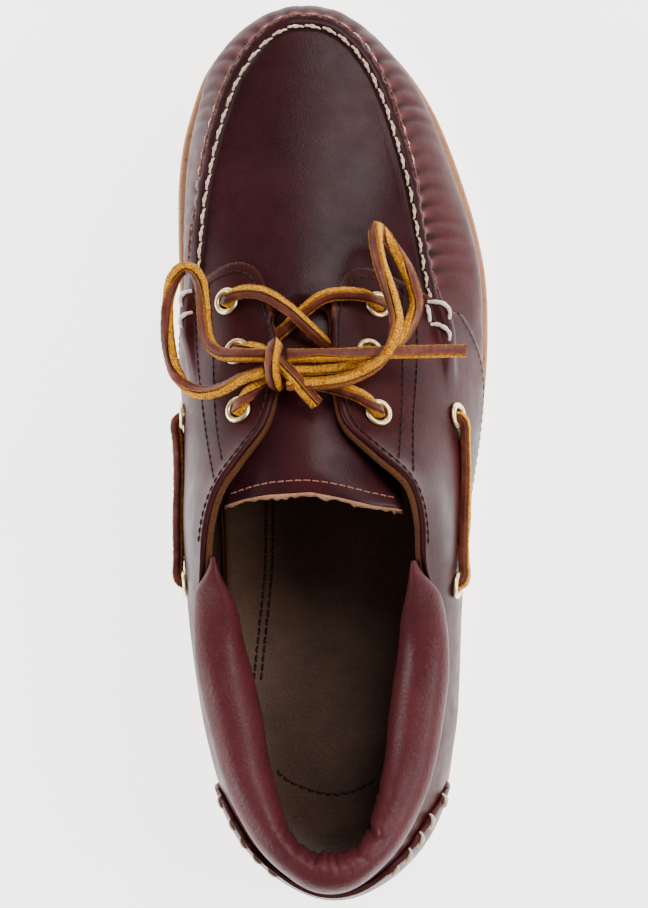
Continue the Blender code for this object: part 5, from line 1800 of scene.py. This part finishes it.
def sewn(
    name, lines, pitch, thick, finish,
    share=0.72, sink=0.1, wander=0.06, form=TWISTED, slant=0.0,
):
    """All the rows of one kind of sewing, as one piece. share: how much of a step a stitch takes."""
    shape_points, shape_faces = form
    chance = np.random.default_rng(len(name) * 7 + len(lines))
    points, faces, kinds, count = [], [], [], 0
    y = shape_points[:, 1]
    bow = np.sin(math.pi * np.clip(y, 0, 1)) ** FULLNESS
    arch = thick * (ARCH * bow - ENDS_UNDER) + thick * (0.5 - sink)
    for line in lines:
        stops = evenly(line, pitch)
        for a, b in zip(stops, stops[1:]):
            start, end = a[:3], a[:3] + (b[:3] - a[:3]) * share
            length = np.linalg.norm(end - start)
            if length < SHORTEST:
                continue
            run = (end - start) / length
            normal = a[3:] + b[3:]
            normal = unit(normal - run * (normal @ run))
            across = np.cross(run, normal)
            shift = chance.normal(0, wander, 2) * thick
            aside = shape_points[:, 0] * thick + shift[0] + (y - 0.5) * (shift[1] * 2 + slant)
            points.append(
                start + np.outer(y * length, run) + np.outer(aside, across)
                + np.outer(shape_points[:, 2] * thick * 0.9 + arch, normal)
            )
            faces += [tuple(i + count for i in face) for face in shape_faces]
            kinds += [0] * len(shape_faces)
            count += len(y)
            for centre in (start, end):
                long = np.cos(HOLE_ROUND) * thick * HOLE_LONG
                wide = np.sin(HOLE_ROUND) * thick * HOLE_WIDE
                points.append(centre + np.outer(long, run) + np.outer(wide, across) + normal * 0.05)
                faces.append(tuple(range(count, count + HOLE_POINTS)))
                kinds.append(1)
                count += HOLE_POINTS
    made = piece_of(name, np.vstack(points), faces, [finish, hole_dark], kinds)
    return made

# %% The apron's rows
def on_net(arc_from, arc_to, distance):
    """A line at one distance in from the seam, by length along the shoulder from the toe."""
    line = []
    for arc in np.arange(arc_from, arc_to, 1.0):
        k = int(np.clip(np.searchsorted(ARC, arc), 1, len(ARC) - 1))
        share = (arc - ARC[k - 1]) / (ARC[k] - ARC[k - 1])
        ends = []
        for rib in (k - 1, k):
            row = np.clip(np.searchsorted(ROWS[:, rib], distance), 1, len(ROWS) - 1)
            part = (distance - ROWS[row - 1, rib]) / (ROWS[row, rib] - ROWS[row - 1, rib])
            below, above = (np.append(DRESSED[at, rib], NORMAL[at, rib]) for at in (row - 1, row))
            ends.append(below * (1 - part) + above * part)
        line.append(ends[0] * (1 - share) + ends[1] * share)
    return line


def arc_at(y, lateral=True):
    """The length along the shoulder, from the toe, at which a side reaches y."""
    half = len(TURN) - 1
    side = np.arange(0, half + 1) if lateral else np.arange(half, len(ARC))
    order = side if lateral else side[::-1]
    return float(np.interp(y, ALONG[order], ARC[order]))


ends = arc_at(46.5), arc_at(57, False)
sewn(
    "apron_stitches", [on_net(*ends, 4.9)], pitch=PLEAT, thick=1.08, finish=tan_thread,
    share=1.0, sink=-0.05, wander=0.05, form=FULL, slant=0.45,
)
sewn(
    "rim_stitches", [on_net(*ends, 0.15)],
    pitch=PLEAT, thick=0.72, finish=wine_thread, share=1.0, sink=0.05,
)
sewn(
    "rim_peeps", [on_net(arc_at(90), arc_at(62, False), -0.25)],
    pitch=PLEAT, thick=0.72, finish=tan_thread, share=0.7, sink=0.0, form=FULL, slant=0.3,
)
print("apron sewn with", round((ends[1] - ends[0]) / PLEAT), "stitches")

# %% [markdown]
# ## Sewing of the quarters
# Dark thread holds the lining along the throat, round the front arc, and down both sides in double
# rows, and a finer row follows the quarters' lower edge. A few thick stitches lash each front
# corner of the quarters over the bead, where all the strain of the lacing ends.

# %% Throat, arcs and double rows
THROAT_ROW_IN = 2.5
ROW_RISE = 2.0  # the lower row above the quarters' edge
DOUBLE_ROWS = (
    ((-43.0, 51.8), (-41.7, 29.3), (-39.9, 14.9), (-38.6, 6.1), (-35.9, -7.5)),
    ((-38.4, 52.6), (-36.9, 34.0), (-35.9, 13.3), (-35.2, 6.6), (-33.5, -2.1)),
    ((21.4, 51.0), (21.2, 38.0), (21.0, 24.9), (20.7, 13.3), (19.6, -1.5)),
    ((25.6, 47.8), (25.4, 27.1), (24.1, 10.0), (23.9, -5.4)),
)


def throat_row(sign, front, last):
    """In from the throat's edge and the front arc, seen from above, as far as an x."""
    half = len(TURN) - 1
    kept = np.arange(half, -1, -1) if sign > 0 else np.append(np.arange(half, LAST.shape[1]), 0)
    edge = LAST[-1, kept, :2]
    edge = edge[(np.abs(edge[:, 1]) < 28) & (np.abs(edge[:, 0]) > 0.1)]
    arc = np.array([point for point in front[1:-1] if point[1] > 33])
    line = curve_through(np.vstack([edge[np.argsort(edge[:, 1])], arc]))
    for _ in range(6):
        line[1:-1] = (line[:-2] + 2 * line[1:-1] + line[2:]) / 4
    run = unit(np.gradient(line, axis=0))
    line = line + np.column_stack([run[:, 1], -run[:, 0]]) * sign * THROAT_ROW_IN
    return line[(line[:, 0] - last) * sign < 0]


throat_plans = throat_row(1, FRONT_LATERAL, 30.0)[::2], throat_row(-1, FRONT_MEDIAL, -44.0)[::2]
upper_rows = [draped(plan, ON_COVER) for plan in (*throat_plans, *DOUBLE_ROWS)]
sewn("quarter_stitches", upper_rows, pitch=2.7, thick=0.62, finish=dark_thread, share=0.78, sink=0.2)

low_plan = [(y, z + ROW_RISE) for y, z in QUARTER_EDGE[1:] if -100 < y < 50]
lower_rows = [draped(low_plan, ON_COVER, (ASIDE * sign, None, None), (-sign, 0, 0)) for _, sign in SIDES]
sewn("lower_stitches", lower_rows, pitch=2.7, thick=0.5, finish=dark_thread, share=0.72, sink=0.5)
print("rows on the quarters:", len(upper_rows), "and", len(lower_rows))

# %% Lashing stitches
LASHES = (
    ((28.9, 46.9), (33.0, 46.3), (35.3, 44.0), (35.7, 41.4)),
    ((29.8, 39.9), (33.0, 39.4), (35.2, 37.4), (35.6, 34.8)),
    ((28.7, 45.8), (28.9, 43.2), (29.6, 40.6)),
    *(((-43.4, y), (-45.4, y - 0.6), (-46.7, y - 2.4), (-46.7, y - 4.8)) for y in (50.2, 43.6)),
)
LASH_STEP = 0.45
LASH_ROUND = np.arange(8) * 2 * math.pi / 8
LASH_LAY = 5.0  # length of thread in which its plies turn once
LASH_PLY, LASH_PLY_OFF = 0.36, 0.1  # a ply's radius and how far off the middle it lies, in threads

# %% Laying a thick thread
def lashed(name, lines, thick, finish):
    """One thick thread of two plies laid along each line, sunk at both ends."""
    points, faces = [], []
    for line in lines:
        line = evenly(line, LASH_STEP)
        share = np.linspace(0, 1, len(line))
        rise = thick * (0.75 * np.sin(math.pi * share) ** 0.4 - 0.35)
        centre = line[:, :3] + line[:, 3:] * rise[:, None]
        run = unit(np.gradient(centre, axis=0))
        across = unit(np.cross(run, line[:, 3:]))
        up = np.cross(across, run)
        for ply in range(2):
            rings = []
            for n in range(len(line)):
                turn = 2 * math.pi * (n * LASH_STEP / LASH_LAY) + ply * math.pi
                off = (across[n] * math.cos(turn) + up[n] * math.sin(turn) * 0.5) * thick * LASH_PLY_OFF
                circle = np.outer(np.cos(LASH_ROUND), across[n]) + np.outer(np.sin(LASH_ROUND), up[n])
                radius = thick * LASH_PLY * (0.55 + 0.45 * math.sin(math.pi * share[n]) ** 0.6)
                rings.append(centre[n] + off + circle * radius)
            faces += loops(rings, len(points)) + both_ends(rings, len(points))
            points += [*np.vstack(rings)]
    made = piece_of(name, points, faces, [finish])
    return made


lash_lines = [draped(plan, ON_COVER, step=0.6) for plan in LASHES]
lashed("lashing_stitches", lash_lines, thick=1.7, finish=white_thread)
print("lashing stitches:", len(LASHES))

# %% [markdown]
# ## Heel, tongue and insole stitches
# The counter is held by large slanted stitches, five a side, each one a thick thread of its own.
# The tongue has one rose-coloured row along its free edge. The insole's rows are short dark
# stitches, sunk deep: an arc across the heel and two rows along its inner side.

# %% The other rows
ON_COUNTER = tree_over(LAST + NORMAL * (2 * GAP + 2 * OVERLAY))
COUNTER_STITCHES = ((32.6, -106.8), (30.2, -113.2), (27.2, -118.9), (23.4, -124.0), (18.8, -128.2))
STITCH_HALF, STITCH_SLANT, STITCH_DIVE = 2.2, 0.5, 0.4  # half its length, its rise, how deep it ends
OUTSIDE = 40  # how far out a stitch's points start before they are laid on
HEEL_MIDDLE = Vector((0, -95, 0))


def counter_stitch(x, y, sign, under):
    """A slanted line on the counter, this far under its edge, sunk where it ends."""
    away = Vector((sign * x, y, 0)) - HEEL_MIDDLE
    away.normalize()
    z = float(np.interp(-y, -column(COUNTER_EDGE, "y")[1:], column(COUNTER_EDGE, "z")[1:]))
    line = []
    for t in np.linspace(-1, 1, 13):
        along_edge = Vector((-away.y * sign, away.x * sign, 0)) * STITCH_HALF * t
        start = Vector((sign * x, y, z - under + STITCH_SLANT * t)) + away * OUTSIDE + along_edge
        place, normal = met(ON_COUNTER, start, -away)
        if place is not None:
            line.append((*(place - normal * STITCH_DIVE * float(ease(0.3, 1.0, t))), *normal))
    return line


for (side, sign), under, thick in zip(SIDES, (0.7, 2.2), (1.9, 1.4)):
    lines = [counter_stitch(x, y, sign, under) for x, y in COUNTER_STITCHES]
    lashed("counter_stitches_" + side, lines, thick, tan_thread)

# %% Tongue and insole rows
TONGUE_ROW = (
    (-31.0, -12.0), (-22.3, -9.2), (-14.0, -8.0), (-7.1, -7.9), (0.0, -8.8), (6.1, -10.3), (13.0, -12.0),
    (18.5, -13.2),
)
tongue_line = draped(TONGUE_ROW, tree_over(TONGUE_TOP, closed=False))
sewn("tongue_stitches", [tongue_line], pitch=2.6, thick=0.5, finish=rose_thread, share=0.85, sink=0.1)

HEEL_ARC = ((-17.4, -100.0), (-14.0, -103.0), (-9.5, -105.0), (-1.0, -107.2), (7.5, -105.9), (13.4, -102.5))
LEFT_ROW = ((-21.3, -6.8), (-21.3, -16.8), (-21.6, -36.7), (-23.5, -56.7), (-25.1, -72.2))
SECOND_ROW = tuple((x + 2.2, y) for x, y in LEFT_ROW)
insole_tree = tree_over(INSOLE_RINGS)
sewn(
    "insole_stitches", [draped(plan, insole_tree) for plan in (HEEL_ARC, LEFT_ROW, SECOND_ROW)],
    pitch=2.9, thick=0.85, finish=dark_thread, share=0.55, sink=0.3,
)
print("heel, tongue and insole sewn")
